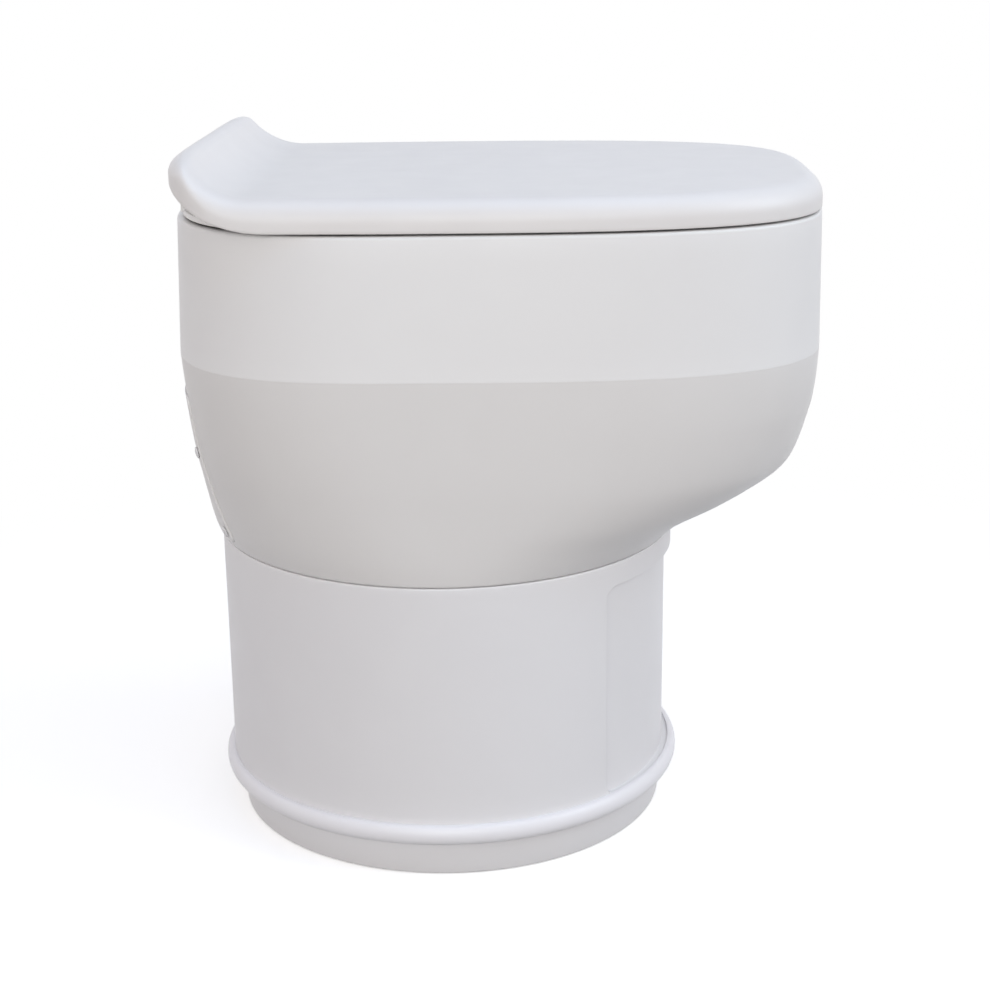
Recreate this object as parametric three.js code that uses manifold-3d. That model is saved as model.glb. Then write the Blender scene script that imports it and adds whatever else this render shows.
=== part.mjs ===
// Sealing toilet with a round pedestal. Waste drops into a film sleeve, and a motor
// turns the bucket below so that the film twists shut above the waste.
// Millimetres, +Z up, front towards -Y.
import * as THREE from 'three';
import { mergeVertices } from 'three/addons/utils/BufferGeometryUtils.js';
import Module from 'manifold-3d';

const wasm = await Module();
wasm.setup();

// General
const OVERRUN = 20; // how far a cutting shape runs past what it cuts
const TOUCH = 0.3; // gap between pieces that rest on or against each other
const AROUND = 40; // points around the body outline
const PEDESTAL_ROUND = 48; // points around the pedestal and its trim ring
const ROUND = 36; // points around the other large round pieces
const SMALL_ROUND = 12; // points around pins, screws and pads

// Upper body outline, a rounded shape that is wider and boxier at the front
const BODY_HALF_WIDTH = 184.5;
const BODY_REAR_SHARE = 0.946; // of the half width
const BODY_FRONT_SHARE = 1.64;
const BODY_CENTRE_SHARE = 0.103;
const BODY_REAR_POWER = 2.9;
const BODY_FRONT_POWER = 3.4;
const BODY_WALL = 4;
const RIM_TOP = 483;
const BAND_HEIGHT_SHARE = 0.208; // of the rim's height
const BAND_FLARE = { side: 2.6, rear: 3.7, front: 1.6 }; // how far the band widens from rim to bottom
const RIM_WIDTH = 10;
const RIM_THICK = 7;
const RIM_ROUND = 2.5;
const SPIGOT_HEIGHT = 13.5; // the bowl's neck that stands inside the band

// Pedestal, trim ring and foot
const PEDESTAL_INSET = 6.1; // how far its wall lies inside the body's half width
const PEDESTAL_HEIGHT_SHARE = 0.4762; // of the rim's height
const PEDESTAL_WALL = 3;
const PEDESTAL_FLANGE = 15;
const RECESS_WIDTH_SHARE = 0.723; // of the pedestal's width
const RECESS_DEPTH = 5; // at the front centre
const RECESS_STEP = 2.2; // at its upright edges
const RECESS_CORNER = 10;
const RECESS_DROP = 17.6; // from the pedestal's top to the recess
const RECESS_SILL = 10.6; // from the trim ring's seat up to the recess
const BEAD_TOP = 46;
const BEAD_HEIGHT = 16.5;
const BEAD_OUT = 6.4; // how far the bead stands out of the pedestal
const BEAD_FLANGE = 3.5;
const BEAD_TURN_SHARES = [-0.69, -0.33, 0, 0.33, 0.69, 0.91]; // of a quarter turn
const PEDESTAL_PLAY = 0.5; // between pedestal and bead
const FOOT_INSET = 8; // how far the foot lies inside the pedestal's wall
const FOOT_DRAFT = 2.1;
const COLLAR_INSET = 10.4;
const COLLAR_TOP = 44;
const TRAY_WALL = 3;
const TRAY_BOTTOM = 0.6; // the tray clears the floor, the rubber ring carries it
const TRAY_FLOOR = 9;
const PAD_RING_INSET = 10.4;
const PAD_RING_WIDTH = 14;
const PAD_RING_HEIGHT = 6;

// Turntable and its drive
const BOSS_RADIUS = 22;
const BOSS_TOP = 18;
const SPINDLE_RADIUS = 6;
const WASHER_THICK = 2;
const DRIVE_MARGIN = 27.8; // from the drive's axis to the tray's wall
const TABLE_TEETH = 60;
const PINION_TEETH = 12;
const GEAR_THICK = 8;
const TOOTH_BACKLASH = 0.4; // added to the centre distance
const TOOTH_TIP_SHARE = 0.12; // half widths of a tooth, as shares of the pitch
const TOOTH_ROOT_SHARE = 0.3;
const ADDENDUM_SHARE = 0.9; // of the module
const DEDENDUM_SHARE = 1.15;
const TABLE_RING_HEIGHT = 6;
const TABLE_RING_WALL = 3;
const SHAFT_RADIUS = 4;
const SHAFT_IN_GEARBOX = 6;
const BRACKET_TOP = 40;
const BRACKET_THICK = 3;
const BRACKET_HALF_SPAN = 34;
const BRACKET_DEPTH = 38;
const GEARBOX_RADIUS = 18.5;
const GEARBOX_HEIGHT = 22;
const MOTOR_RADIUS = 17.5;
const MOTOR_HEIGHT = 46;

// Bucket and film
const BUCKET_INSET = 8; // from the turntable's pitch circle to the bucket's foot
const BUCKET_TAPER = 11;
const BUCKET_DROP = 18; // from the pedestal's top to the bucket's lip
const BUCKET_WALL = 2.5;
const BUCKET_LIP = 4;
const BAG_PLAY = 10;
const BAG_DROP = 44; // from the bucket's lip to the bag's shoulder
const NECK_RADIUS = 9;
const NECK_DROP = 8; // from the pedestal's top to where the twisted film of bag and sleeve meet
const FILM_WALL = 1;

// Cassette, funnel and chassis
const CHASSIS_THICK = 4;
const SERVICE_PLAY = 4; // the bucket lifts out through the chassis with this to spare
const SHELF_MARGIN = 3;
const SHELF_THICK = 4;
const CASSETTE_OVERHANG = 17; // over the chassis' hole
const CASSETTE_SEAT = 15; // on the chassis
const CASSETTE_HEIGHT = 33;
const CASSETTE_WALL = 2.5;
const FILM_SLOT = 3;
const FUNNEL_WALL = 2.5;
const FUNNEL_DROP = 6; // from the rim to the funnel's lip
const FUNNEL_LIP = 5;
const SPOUT_PLAY = 3.5;
const SPOUT_DROP = 12;

// Seat deck
const SEAM = 1.5; // dark line between rim and lid
const HOLE = { side: 102, rear: 100, front: 146, centre: -12, rearPower: 2.2, frontPower: 2.2 };
const SKIRT_PLAY = 0.8; // between the lid's skirt and the deck
const DECK_EDGE = 4;
const SEAT_RISE = 12.5; // from the deck's bottom to the seat
const SEAT_WALL = 5;
const SEAT_MARGIN = 15; // the flat shelf around the raised seat
const SEAT_ROLL = 9;
const DECK_SKIRT_DROP = 4.5; // below the rim
const GASKET_WIDTH = 3.5;

// Lid with its upswept tail
const LID_CLEARANCE = 6.9; // over the seat
const LID_WALL = 3.5;
const LID_FILLET = 15.8;
const LID_FILLET_HEIGHT_SHARE = 0.68; // at most this much of the lid's height
const FILLET_TURN_SHARES = [0, 0.25, 0.5, 0.75, 1]; // of a quarter turn
const LID_AROUND = 48; // points around the lid
const LID_TOP_INSET_SHARES = [0.11, 0.16, 0.23, 0.3, 0.4, 0.6]; // of the body's half width
const LID_UNDER_INSET_SHARES = [0.024, 0.055, 0.08, 0.13, 0.24, 0.6];
const LID_UNDER_DROP_SHARES = [0.3, 0.04, 0, 0, 0, 0]; // of the hollow's height, down from its ceiling
const TAIL_RISE = 28;
const TAIL_NOSE = 11.5; // radius of the rounded rear edge
const TAIL_SLOPE_DEG = 57;
const TAIL_INSET = 8.5; // how far the tail's rear edge lies in front of the body's
const TAIL_START_SHARE = 0.09; // where along the rear the tail's corners begin
const TAIL_SPREAD_SHARE = 0.4;
const TAIL_POWER = 6.8; // the tail's corners are squarer than the body's
const UNDERSIDE_RADIUS = 96; // the lid's bottom edge rolls up along this arc

// Hinge
const HINGE_INSET = 15.5; // from the body's rear
const HINGE_RISE = 1; // over the seat
const HINGE_X = 72;
const PIN_RADIUS = 3;
const EAR_RADIUS = 6;
const LID_EAR_WIDTH = 10;
const DECK_EAR_WIDTH = 8;
const DAMPER_LENGTH = 26;
const DAMPER_RADIUS = 5;
const BUMPER_RADIUS = 7;
const BUMPER_PLACE_SHARES = [[0.64, -0.43], [0.72, 0.2]]; // of the half width and the front reach

// Fan, filter, battery, board
const FAN_MARGIN = 7.8; // over the battery and under the band's neck
const FAN_DEPTH = 26;
const FAN_WALL = 2;
const FAN_X = -58;
const FAN_DROP = 12.5; // from the band's foot to the fan's housing
const FILTER_GAP = 3; // between the filter and the rear skin's frame
const FAN_INLET_SHARE = 0.55; // radii as shares of the fan's
const FAN_OUTLET_SHARE = 0.7;
const FAN_MOTOR_SHARE = 0.325;
const IMPELLER_PLAY = 6;
const BLADE_COUNT = 9;
const IMPELLER_DEPTH = 14;
const BLADE_THICK = 2;
const BLADE_LENGTH_SHARE = 0.5; // of the impeller's radius
const FAN_MOTOR_LENGTH = 16;
const FAN_SHAFT_RADIUS = 2;
const FILTER_DEPTH = 9;
const FAN_HANGER_WIDTH = 24;
const BATTERY_SIZE = [108, 26, 52];
const BATTERY_X = -10;
const BATTERY_PLAY = 1; // between the battery and the bucket's way out
const BOARD_SIZE = [76, 46, 1.6];
const BOARD_X = 44;
const BOARD_GAP = 6; // between the board and the band's rear wall
const BOARD_DROP = 8;
const STANDOFF_RADIUS = 3;

// Rear cover and its screws
const COVER_WIDTH_SHARE = 0.515; // of the body's width
const COVER_RISE = 7; // over the pedestal
const COVER_OVER_FAN = 22; // from the fan's axis up to the cover's top
const COVER_WALL = 3;
const COVER_PROUD = 1.2; // how far the cover stands out of the bowl's skin
const COVER_RABBET = 12; // width of the strips that the cover is screwed to
const SCREW_HEAD_RADIUS = 4.5;
const SCREW_HEAD_HEIGHT = 1.6;
const SCREW_RADIUS = 2;
const SCREW_LENGTH = 7;
const SCREW_MARGIN = 8;
const SCREW_SPAN = 62; // from the lower screws up to the upper ones
const SLOT_COUNT = 5;
const SLOT_HALF_LENGTH = 22;
const SLOT_HEIGHT = 3;
const SLOT_PITCH = 7.5;
const INLET_SIZE = [22, 12, 14];
const INLET_X = 58;
const INLET_RISE = 25; // over the cover's bottom
const INLET_BORE = 4;
const INLET_DEPTH = 10;
const INLET_FLANGE = 2;

// Start button in the band's side, at the seated user's left hand
const BUTTON_Y = 10;
const BUTTON_DROP = 41; // below the rim
const BUTTON_RADIUS = 12;
const BEZEL_WIDTH = 4;
const BEZEL_DEPTH = 6;
const BUTTON_PLAY = 0.4;
const BUTTON_TRAVEL = 2.5;
const BUTTON_LENGTH = 10;
const SWITCH_LENGTH = 8;

// Outline and radii that follow from the sizes above
const BODY = {
  side: BODY_HALF_WIDTH,
  rear: BODY_HALF_WIDTH * BODY_REAR_SHARE,
  front: BODY_HALF_WIDTH * BODY_FRONT_SHARE,
  centre: BODY_HALF_WIDTH * BODY_CENTRE_SHARE,
  rearPower: BODY_REAR_POWER,
  frontPower: BODY_FRONT_POWER,
};
const HINGE_Y = BODY.centre + BODY.rear - HINGE_INSET;
const PEDESTAL_RADIUS = BODY.side - PEDESTAL_INSET;
const RECESS_HALF_WIDTH = PEDESTAL_RADIUS * RECESS_WIDTH_SHARE;
const FOOT_RADIUS = PEDESTAL_RADIUS - FOOT_INSET;
const FOOT_TOP_RADIUS = FOOT_RADIUS + FOOT_DRAFT;
const COLLAR_RADIUS = PEDESTAL_RADIUS - COLLAR_INSET;
const PAD_RING_OUTER = FOOT_RADIUS - PAD_RING_INSET;
const PINION_Y = COLLAR_RADIUS - TRAY_WALL - DRIVE_MARGIN;
const GEAR_MODULE = (PINION_Y - TOOTH_BACKLASH) * 2 / (TABLE_TEETH + PINION_TEETH);
const BUCKET_BOTTOM_RADIUS = GEAR_MODULE * TABLE_TEETH / 2 - BUCKET_INSET;
const BUCKET_TOP_RADIUS = BUCKET_BOTTOM_RADIUS + BUCKET_TAPER;
const BAG_RADIUS = BUCKET_BOTTOM_RADIUS - BAG_PLAY;
const SERVICE_RADIUS = BUCKET_TOP_RADIUS + BUCKET_LIP + SERVICE_PLAY;
const SHELF_RADIUS = SERVICE_RADIUS + SHELF_MARGIN;
const CASSETTE_INNER = SERVICE_RADIUS - CASSETTE_OVERHANG;
const CASSETTE_OUTER = SERVICE_RADIUS + CASSETTE_SEAT;
const SPOUT_RADIUS = CASSETTE_INNER - SPOUT_PLAY;
const COVER_HALF_WIDTH = BODY.side * COVER_WIDTH_SHARE;

// Levels that follow from the sizes above
const BAND_HEIGHT = RIM_TOP * BAND_HEIGHT_SHARE;
const BAND_BOTTOM = RIM_TOP - BAND_HEIGHT;
const PEDESTAL_TOP = RIM_TOP * PEDESTAL_HEIGHT_SHARE;
const BOWL_BOTTOM = PEDESTAL_TOP + 2 * TOUCH;
const BATTERY_BOTTOM = BOWL_BOTTOM + SHELF_THICK + TOUCH;
const FAN_RADIUS = (BAND_BOTTOM - BATTERY_BOTTOM - BATTERY_SIZE[2]) / 2 - FAN_MARGIN;
const IMPELLER_RADIUS = FAN_RADIUS - IMPELLER_PLAY;
const FILTER_RADIUS = IMPELLER_RADIUS;
const BLADE_LENGTH = IMPELLER_RADIUS * BLADE_LENGTH_SHARE;
const RECESS_TOP = PEDESTAL_TOP - RECESS_DROP;
const BUCKET_TOP = PEDESTAL_TOP - BUCKET_DROP;
const BAG_TOP = BUCKET_TOP - BAG_DROP;
const NECK_TOP = PEDESTAL_TOP - NECK_DROP;
const FAN_Z = BAND_BOTTOM - FAN_DROP - FAN_RADIUS;
const COVER_BOTTOM = PEDESTAL_TOP + COVER_RISE;
const COVER_TOP = FAN_Z + COVER_OVER_FAN;
const INLET_Z = COVER_BOTTOM + INLET_RISE;
const BUTTON_Z = RIM_TOP - BUTTON_DROP;
const FUNNEL_TOP = RIM_TOP - FUNNEL_DROP;
const DECK_SKIRT_BOTTOM = RIM_TOP - DECK_SKIRT_DROP;
const CHASSIS_BOTTOM = BAND_BOTTOM + SPIGOT_HEIGHT + TOUCH;
const CHASSIS_TOP = CHASSIS_BOTTOM + CHASSIS_THICK;
const BEAD_BOTTOM = BEAD_TOP - BEAD_HEIGHT;
const TABLE_BOTTOM = BOSS_TOP + WASHER_THICK + 2 * TOUCH;
const TABLE_TOP = TABLE_BOTTOM + GEAR_THICK;
const CASSETTE_BOTTOM = CHASSIS_TOP + TOUCH;
const CASSETTE_TOP = CASSETTE_BOTTOM + CASSETTE_HEIGHT;
const COVER_RING_TOP = CASSETTE_TOP + TOUCH + CASSETTE_WALL;
const DECK_BOTTOM = RIM_TOP + SEAM;
const LID_BOTTOM = RIM_TOP + SEAM;
const SEAT_TOP = DECK_BOTTOM + SEAT_RISE;
const HINGE_Z = SEAT_TOP + HINGE_RISE;
const LID_CEILING = SEAT_TOP + LID_CLEARANCE;
const LID_TOP = LID_CEILING + LID_WALL;
const DECK_INSET = LID_WALL + SKIRT_PLAY;
const GASKET_INSET = DECK_INSET + SKIRT_PLAY;

const white = (name, color, roughness) =>
  new THREE.MeshStandardMaterial({ name, color, roughness, metalness: 0 });
const metal = (name, color, roughness) =>
  new THREE.MeshStandardMaterial({ name, color, roughness, metalness: 1 });
const MATERIALS = {
  lid: white('lid_plastic', 0xe4e6ec, 0.3),
  body: white('body_plastic', 0xdedede, 0.38),
  bowl: white('bowl_plastic', 0xd6d4d2, 0.42),
  base: white('base_plastic', 0xdcdde1, 0.42),
  seat: white('seat_plastic', 0xe2e2e0, 0.35),
  inner: white('inner_plastic', 0x9fa3a8, 0.55),
  bucket: white('bucket_plastic', 0x5c6166, 0.5),
  gear: white('gear_plastic', 0xe9e4d4, 0.45),
  film: white('film', 0xeef1f2, 0.25),
  rubber: white('rubber', 0x2e2d2c, 0.8),
  steel: metal('steel', 0xb9bbbd, 0.35),
  housing: white('housing_plastic', 0x2d2f31, 0.5),
  battery: white('battery_wrap', 0x2f5d8a, 0.4),
  board: white('circuit_board', 0x2c6b45, 0.5),
  filter: white('filter_felt', 0x35373a, 0.95),
  button: white('button_plastic', 0xc9ced4, 0.35),
};

const product = new THREE.Group();
const body = new THREE.Group();
product.add(body);

function add(name, geometry, material, parent = body) {
  const mesh = new THREE.Mesh(geometry, material);
  mesh.name = name;
  parent.add(mesh);
  return mesh;
}

// Solids

function bare(geometry) {
  const copy = geometry.index ? geometry.toNonIndexed() : geometry.clone();
  copy.deleteAttribute('normal');
  copy.deleteAttribute('uv');
  return mergeVertices(copy, TOUCH / 1000);
}

function solid(geometry) {
  const merged = bare(geometry);
  return new wasm.Manifold(new wasm.Mesh({
    numProp: 3,
    vertProperties: new Float32Array(merged.attributes.position.array),
    triVerts: new Uint32Array(merged.index.array),
  }));
}

function shape(manifold) {
  const mesh = manifold.getMesh();
  const geometry = new THREE.BufferGeometry();
  geometry.setAttribute('position', new THREE.BufferAttribute(new Float32Array(mesh.vertProperties), 3));
  geometry.setIndex(new THREE.BufferAttribute(new Uint32Array(mesh.triVerts), 1));
  geometry.computeVertexNormals();
  return geometry;
}

const cut = (first, ...rest) => shape(rest.reduce((whole, g) => whole.subtract(solid(g)), solid(first)));
const join = (first, ...rest) => shape(rest.reduce((whole, g) => whole.add(solid(g)), solid(first)));

// A closed profile of [radius, height] pairs turned about the upright axis
function turned(profile, segments = ROUND) {
  const points = profile.map(([r, z]) => new THREE.Vector2(r, z));
  if (profile[0][0] > 0) points.push(points[0].clone());
  const geometry = new THREE.LatheGeometry(points, segments);
  geometry.rotateX(Math.PI / 2);
  return outward(geometry);
}

function outward(geometry) {
  const merged = bare(geometry);
  const index = merged.index.array;
  const position = merged.attributes.position;
  const [a, b, c] = [new THREE.Vector3(), new THREE.Vector3(), new THREE.Vector3()];
  let volume = 0;
  for (let i = 0; i < index.length; i += 3) {
    a.fromBufferAttribute(position, index[i]);
    b.fromBufferAttribute(position, index[i + 1]);
    c.fromBufferAttribute(position, index[i + 2]);
    volume += a.dot(b.cross(c));
  }
  if (volume < 0) {
    for (let i = 0; i < index.length; i += 3) {
      [index[i + 1], index[i + 2]] = [index[i + 2], index[i + 1]];
    }
  }
  merged.computeVertexNormals();
  return merged;
}

function block(sizeX, sizeY, sizeZ, x, y, z) {
  return new THREE.BoxGeometry(sizeX, sizeY, sizeZ).translate(x, y, z);
}

// A cylinder between two heights, or along X or Y between two places
function rod(radius, from, to, segments = SMALL_ROUND) {
  return new THREE.CylinderGeometry(radius, radius, to - from, segments)
    .rotateX(Math.PI / 2).translate(0, 0, (from + to) / 2);
}
const rodX = (radius, from, to, y, z, segments = SMALL_ROUND) =>
  rod(radius, from, to, segments).rotateY(Math.PI / 2).translate(0, y, z);
const rodY = (radius, from, to, x, z, segments = SMALL_ROUND) =>
  rod(radius, from, to, segments).rotateX(-Math.PI / 2).translate(x, 0, z);

// Outlines and lofts

const smooth = (t) => {
  const s = Math.min(1, Math.max(0, t));
  return s * s * (3 - 2 * s);
};
const mix = (a, b, t) => a + (b - a) * t;

// A point of an outline at an angle, pulled in by inset
function outlinePoint(outline, angle, inset = 0) {
  const [c, s] = [Math.cos(angle), Math.sin(angle)];
  const power = s > 0 ? outline.rearPower : outline.frontPower;
  const reach = s > 0 ? outline.rear : outline.front;
  const x = (outline.side - inset) * Math.sign(c) * Math.abs(c) ** (2 / power);
  const y = outline.centre + (reach - inset) * Math.sign(s) * Math.abs(s) ** (2 / power);
  return [x, y];
}

const angles = (count) => Array.from({ length: count }, (_, i) => (i + 0.5) / count * 2 * Math.PI);

function ring(outline, inset, height, count = AROUND) {
  return angles(count).map((angle) => {
    const [x, y] = outlinePoint(outline, angle, inset);
    return new THREE.Vector3(x, y, height);
  });
}

// Skins a list of rings. A closed loft joins the last ring to the first,
// an open one is capped at both ends.
function loft(rings, closed = true) {
  const count = rings[0].length;
  const points = rings.flat();
  const index = [];
  const quad = (a, b, c, d) => index.push(a, b, c, a, c, d);
  const spans = closed ? rings.length : rings.length - 1;
  for (let k = 0; k < spans; k++) {
    const [low, high] = [k * count, (k + 1) % rings.length * count];
    for (let i = 0; i < count; i++) {
      const j = (i + 1) % count;
      quad(low + i, low + j, high + j, high + i);
    }
  }
  if (!closed) {
    for (const [k, flip] of [[0, true], [rings.length - 1, false]]) {
      const middle = new THREE.Vector3();
      rings[k].forEach((p) => middle.addScaledVector(p, 1 / count));
      points.push(middle);
      for (let i = 0; i < count; i++) {
        const [a, b] = [k * count + i, k * count + (i + 1) % count];
        index.push(...(flip ? [b, a] : [a, b]), points.length - 1);
      }
    }
  }
  const geometry = new THREE.BufferGeometry().setFromPoints(points);
  geometry.setIndex(index);
  return outward(geometry);
}

// Upper body: band and bowl

// The band's outline at a height, wider towards its bottom
function bandOutline(z) {
  const t = (RIM_TOP - z) / BAND_HEIGHT;
  return {
    ...BODY,
    side: BODY.side + BAND_FLARE.side * t,
    rear: BODY.rear + BAND_FLARE.rear * t,
    front: BODY.front + BAND_FLARE.front * t,
  };
}
const bandFoot = bandOutline(BAND_BOTTOM);
const spigotOutline = bandOutline(BAND_BOTTOM + SPIGOT_HEIGHT);

function upperBand() {
  const underRim = RIM_TOP - RIM_THICK;
  return loft([
    ring(bandFoot, RIM_ROUND / 2, BAND_BOTTOM + TOUCH),
    ring(bandFoot, 0, BAND_BOTTOM + RIM_ROUND),
    ring(BODY, 0, RIM_TOP - RIM_ROUND),
    ring(BODY, RIM_ROUND * 0.3, RIM_TOP - RIM_ROUND * 0.3),
    ring(BODY, RIM_ROUND, RIM_TOP),
    ring(BODY, RIM_WIDTH, RIM_TOP),
    ring(BODY, RIM_WIDTH, underRim),
    ring(BODY, BODY_WALL, underRim - RIM_WIDTH + BODY_WALL),
    ring(bandFoot, BODY_WALL, BAND_BOTTOM + TOUCH),
  ]);
}

// The bowl's skin between the band and the pedestal. Each pair is the share of the
// way down and the share of the way in, at the front and at the rear and sides.
const FRONT_SHARES = [[0, 0], [0.1, 0.006], [0.25, 0.025], [0.35, 0.055], [0.45, 0.09], [0.56, 0.145],
  [0.61, 0.2], [0.66, 0.29], [0.72, 0.415], [0.77, 0.535], [0.83, 0.71], [0.88, 0.83], [0.93, 0.91], [1, 1]];
const REAR_SHARES = [[0, 0], [0.11, 0.06], [0.32, 0.19], [0.53, 0.35], [0.64, 0.48], [0.75, 0.6], [0.91, 0.8],
  [1, 1]];
const BOWL_LEVEL_SHARES = [0, 0.25, 0.45, 0.58, 0.68, 0.77, 0.87, 1];

function shareAt(table, t) {
  const k = Math.max(1, table.findIndex(([place]) => place >= t));
  const [[t0, v0], [t1, v1]] = [table[k - 1], table[k]];
  return mix(v0, v1, (t - t0) / (t1 - t0));
}

// The bowl's outline at a share of the way down
function bowlOutline(t) {
  const [front, rear] = [shareAt(FRONT_SHARES, t), shareAt(REAR_SHARES, t)];
  const centre = mix(bandFoot.centre, 0, t);
  const rounder = t ** 1.5;
  return {
    side: mix(bandFoot.side, PEDESTAL_RADIUS, rear),
    rear: mix(bandFoot.rear + bandFoot.centre, PEDESTAL_RADIUS, rear) - centre,
    front: mix(bandFoot.front - bandFoot.centre, PEDESTAL_RADIUS, front) + centre,
    centre,
    rearPower: mix(BODY.rearPower, 2, rounder),
    frontPower: mix(BODY.frontPower, 2, rounder),
  };
}
const bowlLevel = (t) => mix(BAND_BOTTOM, BOWL_BOTTOM, t);
const bowlShare = (z) => (BAND_BOTTOM - z) / (BAND_BOTTOM - BOWL_BOTTOM);

// A layer of the bowl's skin between two insets
function bowlLayer(outer, inner) {
  const rows = (inset) => BOWL_LEVEL_SHARES.map((t) => ring(bowlOutline(t), inset, bowlLevel(t)));
  return loft([...rows(outer), ...rows(inner).reverse()]);
}

// A place on the rear cover's face, and which way the face looks there
function rearSeat(x, z) {
  const step = BODY.side / 1000;
  const surface = (px, pz) => {
    const outline = bowlOutline(bowlShare(pz));
    const share = Math.abs(px) / (outline.side + COVER_PROUD);
    const reach = (1 - share ** outline.rearPower) ** (1 / outline.rearPower);
    return outline.centre + (outline.rear + COVER_PROUD) * reach;
  };
  const slope = (dx, dz) => (surface(x + dx, z + dz) - surface(x - dx, z - dz)) / (2 * step);
  const normal = new THREE.Vector3(-slope(step, 0), 1, -slope(0, step)).normalize();
  return { point: new THREE.Vector3(x, surface(x, z), z), normal };
}

const SCREW_SEATS = [0, SCREW_SPAN].flatMap((rise) => [-1, 1].map((sign) =>
  rearSeat(sign * (COVER_HALF_WIDTH - SCREW_MARGIN), COVER_BOTTOM + SCREW_MARGIN + rise)));

// Moves a shape made along +Z, head up, to its seat
function onSeat(geometry, { point, normal }) {
  const turn = new THREE.Quaternion().setFromUnitVectors(new THREE.Vector3(0, 0, 1), normal);
  return geometry.applyQuaternion(turn).translate(point.x, point.y, point.z);
}

const screwHoles = () => SCREW_SEATS.map((seat) =>
  onSeat(rod(SCREW_RADIUS + TOUCH, -SCREW_LENGTH - TOUCH, OVERRUN), seat));

// A block that takes in the rear skin over the cover's place, grown by some margins
function coverBlock(growX, growZ) {
  const [half, height] = [COVER_HALF_WIDTH + growX, COVER_TOP - COVER_BOTTOM + 2 * growZ];
  const reach = BODY.rear + BODY.centre;
  return block(2 * half, reach, height, 0, reach / 2 + OVERRUN, (COVER_TOP + COVER_BOTTOM) / 2);
}

function bowlShell() {
  const spigotOuter = BODY_WALL + TOUCH;
  const shelfOutline = { ...bowlOutline(1), side: SHELF_RADIUS, rear: SHELF_RADIUS, front: SHELF_RADIUS };
  const skin = loft([
    ring(shelfOutline, 0, BOWL_BOTTOM),
    ...BOWL_LEVEL_SHARES.map((t) => ring(bowlOutline(t), 0, bowlLevel(t))).reverse(),
    ring(spigotOutline, spigotOuter, BAND_BOTTOM),
    ring(spigotOutline, spigotOuter, BAND_BOTTOM + SPIGOT_HEIGHT),
    ring(spigotOutline, spigotOuter + BODY_WALL, BAND_BOTTOM + SPIGOT_HEIGHT),
    ring(spigotOutline, spigotOuter + BODY_WALL, BAND_BOTTOM),
    ...BOWL_LEVEL_SHARES.slice(1, -1).map((t) => ring(bowlOutline(t), BODY_WALL, bowlLevel(t))),
    ring(bowlOutline(1), BODY_WALL, BOWL_BOTTOM + SHELF_THICK),
    ring(shelfOutline, 0, BOWL_BOTTOM + SHELF_THICK),
  ]);
  const behind = COVER_WALL - COVER_PROUD + TOUCH;
  const frame = shape(solid(bowlLayer(behind, behind + BODY_WALL))
    .intersect(solid(coverBlock(COVER_RABBET / 2, 0)))
    .subtract(solid(coverBlock(-COVER_RABBET, OVERRUN))));
  const window = coverBlock(TOUCH, TOUCH);
  return cut(join(cut(skin, window), frame), ...screwHoles());
}

function rearCover() {
  const plate = shape(solid(bowlLayer(-COVER_PROUD, COVER_WALL - COVER_PROUD))
    .intersect(solid(coverBlock(0, 0))));
  const slots = Array.from({ length: SLOT_COUNT }, (_, k) => block(
    2 * SLOT_HALF_LENGTH, 2 * BODY.rear, SLOT_HEIGHT, FAN_X, BODY.rear,
    FAN_Z + (k - (SLOT_COUNT - 1) / 2) * SLOT_PITCH));
  const [width, depth, height] = INLET_SIZE.map((size) => size + 2 * TOUCH);
  const inletHole = block(width - 2 * INLET_FLANGE, 2 * depth + BODY.rear, height - 2 * INLET_FLANGE,
    INLET_X, BODY.rear, INLET_Z);
  return cut(plate, ...slots, inletHole, ...screwHoles());
}

const buttonFace = bandOutline(BUTTON_Z).side - TOUCH;
add('upper_band', cut(upperBand(), rodX(BUTTON_RADIUS + BEZEL_WIDTH + BUTTON_PLAY,
  buttonFace - OVERRUN, buttonFace + OVERRUN, BUTTON_Y, BUTTON_Z, ROUND / 2)), MATERIALS.body);
add('bowl_shell', bowlShell(), MATERIALS.bowl);

// Base: tray, trim ring and rubber ring

function baseTray() {
  const [padInner, padTop] = [PAD_RING_OUTER - PAD_RING_WIDTH, PAD_RING_HEIGHT + TOUCH];
  const shoulder = BEAD_BOTTOM - TOUCH;
  return turned([
    [0, TRAY_BOTTOM], [padInner - TOUCH, TRAY_BOTTOM], [padInner - TOUCH, padTop],
    [PAD_RING_OUTER + TOUCH, padTop], [PAD_RING_OUTER + TOUCH, TRAY_BOTTOM],
    [FOOT_RADIUS - TRAY_BOTTOM, TRAY_BOTTOM], [FOOT_RADIUS, 2 * TRAY_BOTTOM],
    [FOOT_TOP_RADIUS, shoulder], [COLLAR_RADIUS, shoulder], [COLLAR_RADIUS, COLLAR_TOP],
    [COLLAR_RADIUS - TRAY_WALL, COLLAR_TOP], [COLLAR_RADIUS - TRAY_WALL, TRAY_FLOOR],
    [BOSS_RADIUS, TRAY_FLOOR], [BOSS_RADIUS, BOSS_TOP], [SPINDLE_RADIUS + TOUCH, BOSS_TOP],
    [SPINDLE_RADIUS + TOUCH, TRAY_FLOOR - TRAY_WALL], [0, TRAY_FLOOR - TRAY_WALL],
  ], PEDESTAL_ROUND);
}

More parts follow.
